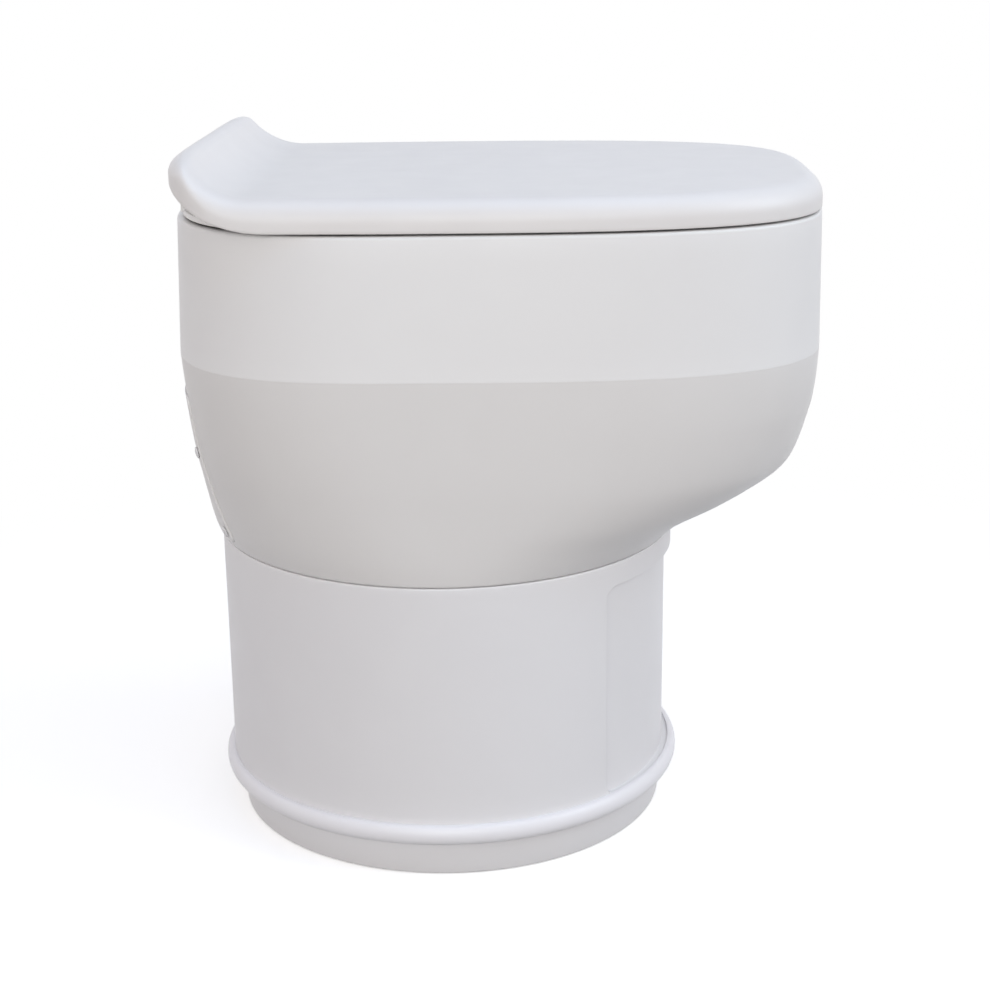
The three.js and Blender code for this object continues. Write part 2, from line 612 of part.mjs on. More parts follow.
function trimRing() {
  const inner = PEDESTAL_RADIUS + PEDESTAL_PLAY;
  const crown = PEDESTAL_RADIUS + BEAD_OUT;
  const half = BEAD_HEIGHT / 2;
  const middle = BEAD_BOTTOM + half;
  const swell = BEAD_TURN_SHARES.map((share) => {
    const turn = share * Math.PI / 2;
    return [inner + (crown - inner) * Math.cos(turn), middle + half * Math.sin(turn)];
  });
  return turned([
    [COLLAR_RADIUS + TOUCH, BEAD_BOTTOM], ...swell, [inner, BEAD_TOP],
    [inner, BEAD_BOTTOM + BEAD_FLANGE], [COLLAR_RADIUS + TOUCH, BEAD_BOTTOM + BEAD_FLANGE],
  ], PEDESTAL_ROUND);
}

add('base_tray', baseTray(), MATERIALS.base);
add('trim_ring', trimRing(), MATERIALS.base);
add('rubber_foot_ring', turned([
  [PAD_RING_OUTER - PAD_RING_WIDTH, 0], [PAD_RING_OUTER, 0],
  [PAD_RING_OUTER, PAD_RING_HEIGHT], [PAD_RING_OUTER - PAD_RING_WIDTH, PAD_RING_HEIGHT],
], PEDESTAL_ROUND), MATERIALS.rubber);

// Pedestal shell with its recessed front

// The space in front of the recess surface, set back by the wall for the inner skin
function recessSpace(back) {
  const half = RECESS_HALF_WIDTH - RECESS_STEP;
  const edge = Math.sqrt(PEDESTAL_RADIUS ** 2 - RECESS_HALF_WIDTH ** 2) - RECESS_STEP;
  const front = PEDESTAL_RADIUS - RECESS_DEPTH;
  const centre = (half ** 2 + edge ** 2 - front ** 2) / (2 * (front - edge));
  const [width, top] = [RECESS_HALF_WIDTH + back, RECESS_TOP + back];
  const bottom = BEAD_BOTTOM + BEAD_FLANGE + RECESS_SILL - back;
  const corner = RECESS_CORNER;
  const outline = new THREE.Shape();
  outline.moveTo(-width, bottom + corner);
  outline.quadraticCurveTo(-width, bottom, -width + corner, bottom);
  outline.lineTo(width - corner, bottom);
  outline.quadraticCurveTo(width, bottom, width, bottom + corner);
  outline.lineTo(width, top - corner);
  outline.quadraticCurveTo(width, top, width - corner, top);
  outline.lineTo(-width + corner, top);
  outline.quadraticCurveTo(-width, top, -width, top - corner);
  const prism = new THREE.ExtrudeGeometry(outline, {
    depth: PEDESTAL_RADIUS, steps: 1, bevelEnabled: false, curveSegments: 4,
  }).rotateX(Math.PI / 2);
  const wall = rod(front + centre - back, -OVERRUN, PEDESTAL_TOP + OVERRUN, PEDESTAL_ROUND)
    .translate(0, centre, 0);
  return cut(prism, wall);
}

function pedestalShell() {
  const bottom = BEAD_BOTTOM + BEAD_FLANGE + TOUCH;
  const inner = PEDESTAL_RADIUS - PEDESTAL_WALL;
  const outerSkin = rod(PEDESTAL_RADIUS, bottom, PEDESTAL_TOP, PEDESTAL_ROUND);
  const innerSkin = rod(inner, bottom + PEDESTAL_WALL, PEDESTAL_TOP - PEDESTAL_WALL, PEDESTAL_ROUND);
  const hollow = cut(innerSkin, recessSpace(PEDESTAL_WALL));
  const mouth = rod(PEDESTAL_RADIUS - PEDESTAL_FLANGE, bottom + OVERRUN, PEDESTAL_TOP + OVERRUN);
  const sole = rod(COLLAR_RADIUS + TOUCH, bottom - OVERRUN, bottom + OVERRUN, PEDESTAL_ROUND);
  return cut(outerSkin, recessSpace(0), hollow, mouth, sole);
}

add('pedestal_shell', pedestalShell(), MATERIALS.base);

// Turntable, pinion and motor

function gearOutline(teeth) {
  const pitch = GEAR_MODULE * teeth / 2;
  const [tip, root] = [pitch + ADDENDUM_SHARE * GEAR_MODULE, pitch - DEDENDUM_SHARE * GEAR_MODULE];
  const step = 2 * Math.PI / teeth;
  const corners = [[-TOOTH_ROOT_SHARE, root], [-TOOTH_TIP_SHARE, tip], [TOOTH_TIP_SHARE, tip],
    [TOOTH_ROOT_SHARE, root]];
  return Array.from({ length: teeth }, (_, k) => corners.map(([share, radius]) => {
    const angle = (k + share) * step;
    return new THREE.Vector2(radius * Math.cos(angle), radius * Math.sin(angle));
  })).flat();
}

function gear(teeth, bore, bottom, thick) {
  const outline = new THREE.Shape(gearOutline(teeth));
  const hole = new THREE.Path().absarc(0, 0, bore, 0, 2 * Math.PI, true);
  outline.holes.push(hole);
  return outward(new THREE.ExtrudeGeometry(outline, {
    depth: thick, steps: 1, bevelEnabled: false, curveSegments: SMALL_ROUND,
  }).translate(0, 0, bottom));
}

function turntable() {
  const inner = BUCKET_BOTTOM_RADIUS + 2 * TOUCH;
  const lip = turned([
    [inner, TABLE_TOP - TABLE_RING_WALL / 2], [inner + TABLE_RING_WALL, TABLE_TOP - TABLE_RING_WALL / 2],
    [inner + TABLE_RING_WALL, TABLE_TOP + TABLE_RING_HEIGHT], [inner, TABLE_TOP + TABLE_RING_HEIGHT],
  ]);
  return join(gear(TABLE_TEETH, SPINDLE_RADIUS + TOUCH, TABLE_BOTTOM, GEAR_THICK), lip);
}

add('spindle', rod(SPINDLE_RADIUS, TRAY_FLOOR - TRAY_WALL + TOUCH, TABLE_TOP - TOUCH), MATERIALS.steel);
add('thrust_washer', turned([
  [SPINDLE_RADIUS + TOUCH, BOSS_TOP + TOUCH], [BOSS_RADIUS, BOSS_TOP + TOUCH],
  [BOSS_RADIUS, BOSS_TOP + TOUCH + WASHER_THICK], [SPINDLE_RADIUS + TOUCH, BOSS_TOP + TOUCH + WASHER_THICK],
], SMALL_ROUND), MATERIALS.gear);
add('turntable', turntable(), MATERIALS.gear);

const drive = new THREE.Group();
drive.position.y = PINION_Y;
body.add(drive);

const pinion = gear(PINION_TEETH, SHAFT_RADIUS + TOUCH, TABLE_BOTTOM, GEAR_THICK);
pinion.rotateZ(Math.PI / PINION_TEETH);
add('drive_pinion', pinion, MATERIALS.gear, drive);
add('output_shaft', rod(SHAFT_RADIUS, TABLE_BOTTOM - TOUCH, BRACKET_TOP + SHAFT_IN_GEARBOX), MATERIALS.steel,
  drive);

function motorBracket() {
  const span = 2 * BRACKET_HALF_SPAN;
  const plate = block(span, BRACKET_DEPTH, BRACKET_THICK, 0, 0, BRACKET_TOP - TOUCH - BRACKET_THICK / 2);
  const legHeight = BRACKET_TOP - TRAY_FLOOR - 2 * TOUCH;
  const legs = [-1, 1].map((side) => block(BRACKET_THICK, BRACKET_DEPTH, legHeight,
    side * (BRACKET_HALF_SPAN - BRACKET_THICK / 2), 0, TRAY_FLOOR + TOUCH + legHeight / 2));
  const tableRadius = GEAR_MODULE * TABLE_TEETH / 2 + GEAR_MODULE + 2 * TOUCH;
  const arc = rod(tableRadius, TRAY_FLOOR, BRACKET_TOP + OVERRUN, ROUND).translate(0, -PINION_Y, 0);
  return cut(join(plate, ...legs), rod(SHAFT_RADIUS + 2 * TOUCH, TRAY_FLOOR, BRACKET_TOP + OVERRUN), arc);
}

add('motor_bracket', motorBracket(), MATERIALS.steel, drive);
add('gearbox', turned([
  [GEARBOX_RADIUS, BRACKET_TOP], [GEARBOX_RADIUS, BRACKET_TOP + GEARBOX_HEIGHT],
  [0, BRACKET_TOP + GEARBOX_HEIGHT], [0, BRACKET_TOP + SHAFT_IN_GEARBOX + TOUCH],
  [SHAFT_RADIUS + TOUCH, BRACKET_TOP + SHAFT_IN_GEARBOX + TOUCH], [SHAFT_RADIUS + TOUCH, BRACKET_TOP],
], SMALL_ROUND), MATERIALS.housing, drive);
const motorBottom = BRACKET_TOP + GEARBOX_HEIGHT + TOUCH;
add('drive_motor', turned([
  [0, motorBottom], [MOTOR_RADIUS, motorBottom], [MOTOR_RADIUS, motorBottom + MOTOR_HEIGHT],
  [MOTOR_RADIUS / 3, motorBottom + MOTOR_HEIGHT],
  [MOTOR_RADIUS / 3, motorBottom + MOTOR_HEIGHT + WASHER_THICK],
  [0, motorBottom + MOTOR_HEIGHT + WASHER_THICK],
], SMALL_ROUND), MATERIALS.steel, drive);

// Bucket, bag and sleeve

const BUCKET_BOTTOM = TABLE_TOP + TOUCH;
add('waste_bucket', turned([
  [0, BUCKET_BOTTOM], [BUCKET_BOTTOM_RADIUS, BUCKET_BOTTOM],
  [BUCKET_TOP_RADIUS, BUCKET_TOP - BUCKET_LIP], [BUCKET_TOP_RADIUS + BUCKET_LIP, BUCKET_TOP - BUCKET_LIP],
  [BUCKET_TOP_RADIUS + BUCKET_LIP, BUCKET_TOP], [BUCKET_TOP_RADIUS - BUCKET_WALL, BUCKET_TOP],
  [BUCKET_BOTTOM_RADIUS - BUCKET_WALL, BUCKET_BOTTOM + BUCKET_WALL], [0, BUCKET_BOTTOM + BUCKET_WALL],
]), MATERIALS.bucket);

const BAG_BOTTOM = BUCKET_BOTTOM + BUCKET_WALL + TOUCH;
const BAG_SHARES = [[0.72, 0], [0.95, 0.12], [1, 0.38], [0.93, 0.66], [0.6, 0.9]];
add('sealed_bag', turned([
  [0, BAG_BOTTOM],
  ...BAG_SHARES.map(([r, z]) => [BAG_RADIUS * r, mix(BAG_BOTTOM, BAG_TOP, z)]),
  [NECK_RADIUS * 2, BAG_TOP], [NECK_RADIUS, BAG_TOP + NECK_RADIUS * 2],
  [NECK_RADIUS, NECK_TOP], [0, NECK_TOP],
], ROUND / 2), MATERIALS.film);

const SLEEVE_TOP = CASSETTE_TOP - CASSETTE_WALL;
const SLEEVE_RADIUS = CASSETTE_INNER - TOUCH;
const SLEEVE_SHARES = [[1, 1], [1, 0.88], [0.84, 0.6], [0.5, 0.32], [0.2, 0.13]];
const sleeveHeight = (share) => mix(NECK_TOP + NECK_RADIUS, SLEEVE_TOP, share);
add('film_sleeve', turned([
  ...SLEEVE_SHARES.map(([r, z]) => [SLEEVE_RADIUS * r, sleeveHeight(z)]),
  [NECK_RADIUS, NECK_TOP + NECK_RADIUS], [NECK_RADIUS, NECK_TOP + TOUCH], [0, NECK_TOP + TOUCH],
  [0, NECK_TOP + NECK_RADIUS + 2 * FILM_WALL],
  ...SLEEVE_SHARES.map(([r, z]) => [SLEEVE_RADIUS * r - FILM_WALL, sleeveHeight(z) + FILM_WALL]).reverse(),
], ROUND / 2), MATERIALS.film);

// Chassis plate, cassette and funnel

const boardCorner = (BOARD_X + BOARD_SIZE[0] / 2) / spigotOutline.side;
const boardY = spigotOutline.centre - 2 * BODY_WALL - BOARD_GAP - BOARD_SIZE[1] / 2
  + spigotOutline.rear * (1 - boardCorner ** spigotOutline.rearPower) ** (1 / spigotOutline.rearPower);

function chassisPlate() {
  const edge = ring(spigotOutline, BODY_WALL + 2 * TOUCH, CHASSIS_BOTTOM)
    .map((p) => new THREE.Vector2(p.x, p.y));
  const outline = new THREE.Shape(edge);
  outline.holes.push(new THREE.Path().absarc(0, 0, SERVICE_RADIUS, 0, 2 * Math.PI, true));
  const plate = new THREE.ExtrudeGeometry(outline, {
    depth: CHASSIS_THICK, steps: 1, bevelEnabled: false, curveSegments: ROUND / 2,
  }).translate(0, 0, CHASSIS_BOTTOM);
  const [reachX, reachY] = [BOARD_SIZE[0], BOARD_SIZE[1]].map((size) => size / 2 - 2 * STANDOFF_RADIUS);
  const peg = (side, end) =>
    rod(STANDOFF_RADIUS, CHASSIS_BOTTOM - BOARD_DROP, CHASSIS_TOP - CHASSIS_THICK / 2, SMALL_ROUND / 2)
      .translate(BOARD_X + side * reachX, boardY + end * reachY, 0);
  const pegs = [-1, 1].flatMap((side) => [-1, 1].map((end) => peg(side, end)));
  return join(plate, ...pegs);
}

add('chassis_plate', chassisPlate(), MATERIALS.inner);
const TROUGH_INNER = CASSETTE_INNER + CASSETTE_WALL;
const TROUGH_OUTER = CASSETTE_OUTER - CASSETTE_WALL;
const TROUGH_FLOOR = CASSETTE_BOTTOM + CASSETTE_WALL;
add('cassette_body', turned([
  [CASSETTE_INNER, CASSETTE_BOTTOM], [CASSETTE_OUTER, CASSETTE_BOTTOM], [CASSETTE_OUTER, CASSETTE_TOP],
  [TROUGH_OUTER, CASSETTE_TOP], [TROUGH_OUTER, TROUGH_FLOOR], [TROUGH_INNER, TROUGH_FLOOR],
  [TROUGH_INNER, CASSETTE_TOP - CASSETTE_WALL], [CASSETTE_INNER, CASSETTE_TOP - CASSETTE_WALL],
]), MATERIALS.inner);
add('film_pack', turned([
  [TROUGH_INNER + 2 * TOUCH, TROUGH_FLOOR + TOUCH], [TROUGH_OUTER - 2 * TOUCH, TROUGH_FLOOR + TOUCH],
  [TROUGH_OUTER - 2 * TOUCH, CASSETTE_TOP - CASSETTE_WALL],
  [TROUGH_INNER + 2 * TOUCH, CASSETTE_TOP - 2 * CASSETTE_WALL],
]), MATERIALS.film);
add('cassette_cover', turned([
  [CASSETTE_INNER + FILM_SLOT, CASSETTE_TOP + TOUCH], [CASSETTE_OUTER, CASSETTE_TOP + TOUCH],
  [CASSETTE_OUTER, COVER_RING_TOP], [CASSETTE_INNER + FILM_SLOT, COVER_RING_TOP],
]), MATERIALS.inner);

const circle = (radius) =>
  ({ side: radius, rear: radius, front: radius, centre: 0, rearPower: 2, frontPower: 2 });

function splashFunnel() {
  const seat = COVER_RING_TOP + TOUCH;
  const spoutBottom = seat - SPOUT_DROP;
  return loft([
    ring(circle(SPOUT_RADIUS), 0, spoutBottom),
    ring(circle(SPOUT_RADIUS), 0, seat),
    ring(circle(CASSETTE_OUTER), 0, seat),
    ring(circle(CASSETTE_OUTER), 0, seat + FUNNEL_WALL),
    ring(circle(SPOUT_RADIUS), -2 * FUNNEL_WALL, seat + FUNNEL_WALL),
    ring(HOLE, -FUNNEL_WALL - FUNNEL_LIP, FUNNEL_TOP - FUNNEL_WALL),
    ring(HOLE, -2 * FUNNEL_WALL - FUNNEL_LIP, FUNNEL_TOP - FUNNEL_WALL),
    ring(HOLE, -2 * FUNNEL_WALL - FUNNEL_LIP, FUNNEL_TOP),
    ring(HOLE, -FUNNEL_LIP, FUNNEL_TOP),
    ring(circle(SPOUT_RADIUS), FUNNEL_WALL, seat + FUNNEL_WALL),
    ring(circle(SPOUT_RADIUS), FUNNEL_WALL, spoutBottom),
  ]);
}

add('splash_funnel', splashFunnel(), MATERIALS.inner);

// Fan with its filter behind the sleeve

const FILTER_BACK = rearSeat(FAN_X - FILTER_RADIUS, FAN_Z - FILTER_RADIUS / 2).point.y
  - COVER_WALL - BODY_WALL - FILTER_GAP;
const FAN_BACK = FILTER_BACK - FILTER_DEPTH - TOUCH;
const FAN_FRONT = FAN_BACK - FAN_DEPTH;
const SHAFT_END = FAN_BACK - FAN_WALL - TOUCH;
const IMPELLER_BACK = SHAFT_END - FAN_WALL;

function fanHousing() {
  const back = FAN_BACK;
  const can = rodY(FAN_RADIUS, FAN_FRONT, back, FAN_X, FAN_Z, ROUND / 2);
  const hangerTop = CHASSIS_BOTTOM - TOUCH;
  const hanger = block(FAN_HANGER_WIDTH, FAN_DEPTH, hangerTop - FAN_Z - FAN_RADIUS / 2, FAN_X,
    FAN_FRONT + FAN_DEPTH / 2, (hangerTop + FAN_Z + FAN_RADIUS / 2) / 2);
  const chamber = rodY(FAN_RADIUS - FAN_WALL, FAN_FRONT + FAN_WALL, back - FAN_WALL, FAN_X, FAN_Z, ROUND / 2);
  const outletRadius = FAN_RADIUS * FAN_OUTLET_SHARE;
  const inlet = rodY(FAN_RADIUS * FAN_INLET_SHARE, FAN_FRONT - OVERRUN, FAN_FRONT + FAN_DEPTH / 2,
    FAN_X, FAN_Z);
  const outlet = rodY(outletRadius, back - FAN_DEPTH / 2, back + OVERRUN, FAN_X, FAN_Z);
  const spider = block(2 * outletRadius + FAN_WALL, FAN_WALL, 2 * FAN_WALL,
    FAN_X, back - FAN_WALL / 2, FAN_Z);
  return join(cut(join(can, hanger), chamber, inlet, outlet), spider);
}

function fanImpeller() {
  const back = IMPELLER_BACK;
  const disc = rodY(IMPELLER_RADIUS, back - FAN_WALL, back, 0, 0, ROUND / 2);
  const hub = rodY(IMPELLER_RADIUS - BLADE_LENGTH - 2 * FAN_WALL, back - IMPELLER_DEPTH, back, 0, 0);
  const blade = (turn) => block(BLADE_LENGTH, IMPELLER_DEPTH, BLADE_THICK,
    IMPELLER_RADIUS - BLADE_LENGTH / 2 - TOUCH, back - IMPELLER_DEPTH / 2, 0).rotateY(turn);
  const blades = Array.from({ length: BLADE_COUNT }, (_, k) => blade(k / BLADE_COUNT * 2 * Math.PI));
  const bore = rodY(FAN_SHAFT_RADIUS + TOUCH, back - OVERRUN, back + OVERRUN, 0, 0);
  return cut(join(disc, hub, ...blades), bore).translate(FAN_X, 0, FAN_Z);
}

add('fan_housing', fanHousing(), MATERIALS.housing);
add('fan_impeller', fanImpeller(), MATERIALS.inner);

function fanMotor() {
  const front = FAN_FRONT - FAN_MOTOR_LENGTH;
  const can = rodY(FAN_RADIUS * FAN_MOTOR_SHARE, front, FAN_FRONT - TOUCH, 0, 0);
  const arms = block(2 * FAN_RADIUS * FAN_INLET_SHARE + 4 * FAN_WALL, FAN_WALL, 2 * FAN_WALL, 0,
    FAN_FRONT - TOUCH - FAN_WALL / 2, 0);
  const shaft = rodY(FAN_SHAFT_RADIUS, front + FAN_WALL, SHAFT_END, 0, 0);
  return join(can, arms, shaft).translate(FAN_X, 0, FAN_Z);
}

add('fan_motor', fanMotor(), MATERIALS.steel);
add('carbon_filter', rodY(FILTER_RADIUS, FAN_BACK + TOUCH, FILTER_BACK, FAN_X, FAN_Z,
  ROUND / 2), MATERIALS.filter);

// Battery and circuit board

add('battery_pack', block(...BATTERY_SIZE, BATTERY_X, SHELF_RADIUS + BATTERY_PLAY + BATTERY_SIZE[1] / 2,
  BATTERY_BOTTOM + BATTERY_SIZE[2] / 2), MATERIALS.battery);

// Places, sizes and heights of the parts on the board, as shares of its own sizes
const BOARD_PART_SHARES = [
  [-0.3, -0.2, 0.25, 0.3, 6], [0.1, 0.25, 0.3, 0.25, 5], [0.35, -0.25, 0.15, 0.3, 8],
];

function controlBoard() {
  const [width, depth, thick] = BOARD_SIZE;
  const top = CHASSIS_BOTTOM - BOARD_DROP - TOUCH;
  const board = block(width, depth, thick, BOARD_X, boardY, top - thick / 2);
  const blocks = BOARD_PART_SHARES.map(([px, py, sx, sy, tall]) => block(width * sx, depth * sy, thick * tall,
    BOARD_X + width * px, boardY + depth * py, top - thick / 2 - thick * tall / 2));
  return join(board, ...blocks);
}

add('control_board', controlBoard(), MATERIALS.board);

// Rear cover with its screws and power inlet

add('rear_cover', rearCover(), MATERIALS.bowl);
SCREW_SEATS.forEach((seat, k) => {
  const head = SCREW_HEAD_HEIGHT;
  const screw = turned([
    [0, -SCREW_LENGTH], [SCREW_RADIUS, -SCREW_LENGTH], [SCREW_RADIUS, TOUCH], [SCREW_HEAD_RADIUS, TOUCH],
    [SCREW_HEAD_RADIUS, head / 2 + TOUCH], [SCREW_HEAD_RADIUS * 0.6, head + TOUCH], [0, head + TOUCH],
  ], SMALL_ROUND);
  add(`cover_screw_${k + 1}`, onSeat(screw, seat), MATERIALS.base);
});

function powerInlet() {
  const [width, depth, height] = INLET_SIZE;
  const [noseWidth, noseHeight] = [width - 2 * INLET_FLANGE, height - 2 * INLET_FLANGE];
  const edge = rearSeat(INLET_X + width / 2, INLET_Z - height / 2).point.y;
  const inside = edge - COVER_WALL - INLET_FLANGE / 2;
  const noseEnd = rearSeat(INLET_X + noseWidth / 2, INLET_Z - noseHeight / 2).point.y - TOUCH;
  const housing = block(width, depth, height, INLET_X, inside - depth / 2, INLET_Z);
  const nose = block(noseWidth, depth, noseHeight, INLET_X, noseEnd - depth / 2, INLET_Z);
  const bore = rodY(INLET_BORE, noseEnd - INLET_DEPTH, noseEnd + OVERRUN, INLET_X, INLET_Z);
  return cut(join(housing, nose), bore);
}

add('power_inlet', powerInlet(), MATERIALS.housing);

// Start button

const bezelOuter = BUTTON_RADIUS + BEZEL_WIDTH;
const buttonRod = (radius, from, to) =>
  rodX(radius, buttonFace - from, buttonFace + to, BUTTON_Y, BUTTON_Z, ROUND / 2);

function buttonBezel() {
  return cut(buttonRod(bezelOuter, BEZEL_DEPTH, 0), buttonRod(BUTTON_RADIUS + BUTTON_PLAY, OVERRUN, OVERRUN));
}

add('button_bezel', buttonBezel(), MATERIALS.body);
add('start_button', buttonRod(BUTTON_RADIUS, BUTTON_LENGTH, 0), MATERIALS.button);

function buttonSwitch() {
  const stop = BUTTON_LENGTH + BUTTON_TRAVEL + TOUCH;
  const can = buttonRod(bezelOuter, stop + SWITCH_LENGTH, -BEZEL_DEPTH - TOUCH);
  return cut(can, buttonRod(BUTTON_RADIUS + BUTTON_PLAY, stop, OVERRUN));
}

add('button_switch', buttonSwitch(), MATERIALS.housing);

// Gasket and seat deck

const [gasketBottom, gasketTop] = [RIM_TOP + TOUCH, DECK_BOTTOM - TOUCH];
add('deck_gasket', loft([
  ring(BODY, GASKET_INSET, gasketBottom), ring(BODY, GASKET_INSET, gasketTop),
  ring(BODY, GASKET_INSET + GASKET_WIDTH, gasketTop), ring(BODY, GASKET_INSET + GASKET_WIDTH, gasketBottom),
]), MATERIALS.rubber);

const deckEdgeTop = DECK_BOTTOM + DECK_EDGE;

function seatDeck() {
  const roll = SEAT_TOP - SEAT_ROLL;
  const slab = loft([
    ring(BODY, DECK_INSET, DECK_BOTTOM),
    ring(BODY, DECK_INSET, deckEdgeTop - DECK_EDGE / 4),
    ring(BODY, DECK_INSET + DECK_EDGE / 4, deckEdgeTop),
    ring(BODY, SEAT_MARGIN, deckEdgeTop),
    ring(BODY, SEAT_MARGIN + SEAT_ROLL / 4, mix(deckEdgeTop, SEAT_TOP, 0.7)),
    ring(BODY, SEAT_MARGIN + SEAT_ROLL, SEAT_TOP),
    ring(HOLE, -SEAT_ROLL * 1.5, SEAT_TOP),
    ring(HOLE, -SEAT_ROLL / 3, SEAT_TOP - SEAT_ROLL / 3),
    ring(HOLE, 0, roll),
    ring(HOLE, 0, DECK_SKIRT_BOTTOM),
    ring(HOLE, -SEAT_WALL / 2, DECK_SKIRT_BOTTOM),
    ring(HOLE, -SEAT_WALL, SEAT_TOP - SEAT_WALL),
    ring(BODY, RIM_WIDTH + SEAT_WALL + SEAT_ROLL, SEAT_TOP - SEAT_WALL),
    ring(BODY, RIM_WIDTH + SEAT_WALL, DECK_BOTTOM),
  ]);
  const rearCut = block(2 * BODY.side, 2 * OVERRUN, SEAT_TOP,
    0, HINGE_Y - EAR_RADIUS - TAIL_NOSE + OVERRUN, deckEdgeTop + SEAT_TOP / 2);
  const ears = EAR_PLACES.map(([from, to]) => deckEar(from, to));
  return join(cut(slab, rearCut), ...ears);
}

// The pins' ears on each side: two on the deck with one of the lid between them
const earGap = LID_EAR_WIDTH / 2 + TOUCH;
const EAR_PLACES = [-1, 1].flatMap((side) => [
  [HINGE_X - earGap - DECK_EAR_WIDTH, HINGE_X - earGap],
  [HINGE_X + earGap, HINGE_X + earGap + DECK_EAR_WIDTH],
].map(([from, to]) => (side > 0 ? [from, to] : [-to, -from])));
const pinBore = (from, to) => rodX(PIN_RADIUS + TOUCH, from - OVERRUN, to + OVERRUN, HINGE_Y, HINGE_Z);

function deckEar(from, to) {
  const base = DECK_BOTTOM + DECK_EDGE / 2;
  const post = block(to - from, 2 * EAR_RADIUS, HINGE_Z - base,
    (from + to) / 2, HINGE_Y, (HINGE_Z + base) / 2);
  return cut(join(rodX(EAR_RADIUS, from, to, HINGE_Y, HINGE_Z), post), pinBore(from, to));
}

const deck = new THREE.Group();
product.add(deck);
add('seat_deck', seatDeck(), MATERIALS.seat, deck);

const pinHalf = earGap + DECK_EAR_WIDTH;
for (const [name, side] of [['left', -1], ['right', 1]]) {
  const middle = side * HINGE_X;
  const pin = rodX(PIN_RADIUS, middle - pinHalf, middle + pinHalf, HINGE_Y, HINGE_Z);
  add(`hinge_pin_${name}`, pin, MATERIALS.steel, deck);
  const near = side * (HINGE_X - pinHalf - TOUCH);
  const far = near - side * DAMPER_LENGTH;
  const can = rodX(DAMPER_RADIUS, Math.min(near, far), Math.max(near, far), HINGE_Y, HINGE_Z);
  const base = deckEdgeTop + TOUCH;
  const foot = block(DAMPER_LENGTH, 2 * DAMPER_RADIUS, HINGE_Z - base,
    (near + far) / 2, HINGE_Y, (HINGE_Z + base) / 2);
  add(`soft_close_damper_${name}`, join(can, foot), MATERIALS.housing, deck);
}

// Lid: a shallow cap whose rear sweeps up into a rounded tail

const crest = LID_TOP + TAIL_RISE;
const slope = THREE.MathUtils.degToRad(TAIL_SLOPE_DEG);
const tailEnd = BODY.centre + BODY.rear - TAIL_INSET;
const noseY = tailEnd - TAIL_NOSE;
const noseZ = crest - TAIL_NOSE;
const slopeTop = noseZ + TAIL_NOSE * Math.cos(slope);
const slopeY = noseY - TAIL_NOSE * Math.sin(slope);
const sweepRadius = (slopeTop - LID_TOP) / (1 - Math.cos(slope));
const sweepStart = slopeY - sweepRadius * Math.sin(slope);
const rollCentre = LID_BOTTOM + UNDERSIDE_RADIUS;
const rollReach = UNDERSIDE_RADIUS - TAIL_NOSE;
const rollStart = noseY - Math.sqrt(rollReach ** 2 - (rollCentre - noseZ) ** 2);
const rollEnd = rollStart + (noseY - rollStart) * UNDERSIDE_RADIUS / rollReach;

// Height of the lid's top, and of its bottom edge, along the tail's profile
function topHeight(y) {
  if (y <= sweepStart) return LID_TOP;
  if (y <= slopeY) return LID_TOP + sweepRadius - Math.sqrt(sweepRadius ** 2 - (y - sweepStart) ** 2);
  const past = Math.min(y, noseY) - noseY;
  return noseZ + Math.sqrt(TAIL_NOSE ** 2 - past ** 2);
}
function bottomHeight(y) {
  const past = Math.min(Math.max(y, rollStart), rollEnd) - rollStart;
  return rollCentre - Math.sqrt(UNDERSIDE_RADIUS ** 2 - past ** 2);
}

// The lid follows the body's outline, and grows squarer corners towards its tail
function lidPoint(angle, inset, height) {
  const tail = smooth((Math.sin(angle) - TAIL_START_SHARE) / TAIL_SPREAD_SHARE);
  const outline = {
    ...BODY,
    rear: BODY.rear - TAIL_INSET * tail,
    rearPower: mix(BODY.rearPower, TAIL_POWER, tail),
  };
  const [x, y] = outlinePoint(outline, angle, inset);
  return new THREE.Vector3(x, y, height(y));
}
const lidRing = (inset, height) => angles(LID_AROUND).map((angle) => lidPoint(angle, inset, height));

function lidShell() {
  const depth = (y) => Math.min(LID_FILLET, LID_FILLET_HEIGHT_SHARE * (topHeight(y) - bottomHeight(y)));
  const fillet = FILLET_TURN_SHARES.map((share) => {
    const turn = share * Math.PI / 2;
    const drop = (y) => depth(y) * (1 - Math.sin(turn));
    return lidRing(LID_FILLET * (1 - Math.cos(turn)), (y) => topHeight(y) - drop(y));
  });
  const top = LID_TOP_INSET_SHARES.map((share) => lidRing(share * BODY.side, topHeight));
  const ceiling = (y) => Math.max(LID_CEILING, bottomHeight(y));
  const under = LID_UNDER_INSET_SHARES.map((share, k) => {
    const height = (y) => mix(ceiling(y), bottomHeight(y), LID_UNDER_DROP_SHARES[k]);
    return lidRing(share * BODY.side, height);
  }).reverse();
  const edge = lidRing(LID_WALL, bottomHeight);
  const outside = [lidRing(LID_WALL / 4, bottomHeight), lidRing(0, (y) => bottomHeight(y) + LID_WALL / 4)];
  return loft([...under, edge, ...outside, ...fillet, ...top], false);
}

function lidEar(side) {
  const [from, to] = [side * HINGE_X - LID_EAR_WIDTH / 2, side * HINGE_X + LID_EAR_WIDTH / 2];
  const top = bottomHeight(HINGE_Y) + LID_WALL;
  const web = block(LID_EAR_WIDTH, 2 * EAR_RADIUS, top - HINGE_Z,
    side * HINGE_X, HINGE_Y, (top + HINGE_Z) / 2);
  return cut(join(rodX(EAR_RADIUS, from, to, HINGE_Y, HINGE_Z), web), pinBore(from, to));
}

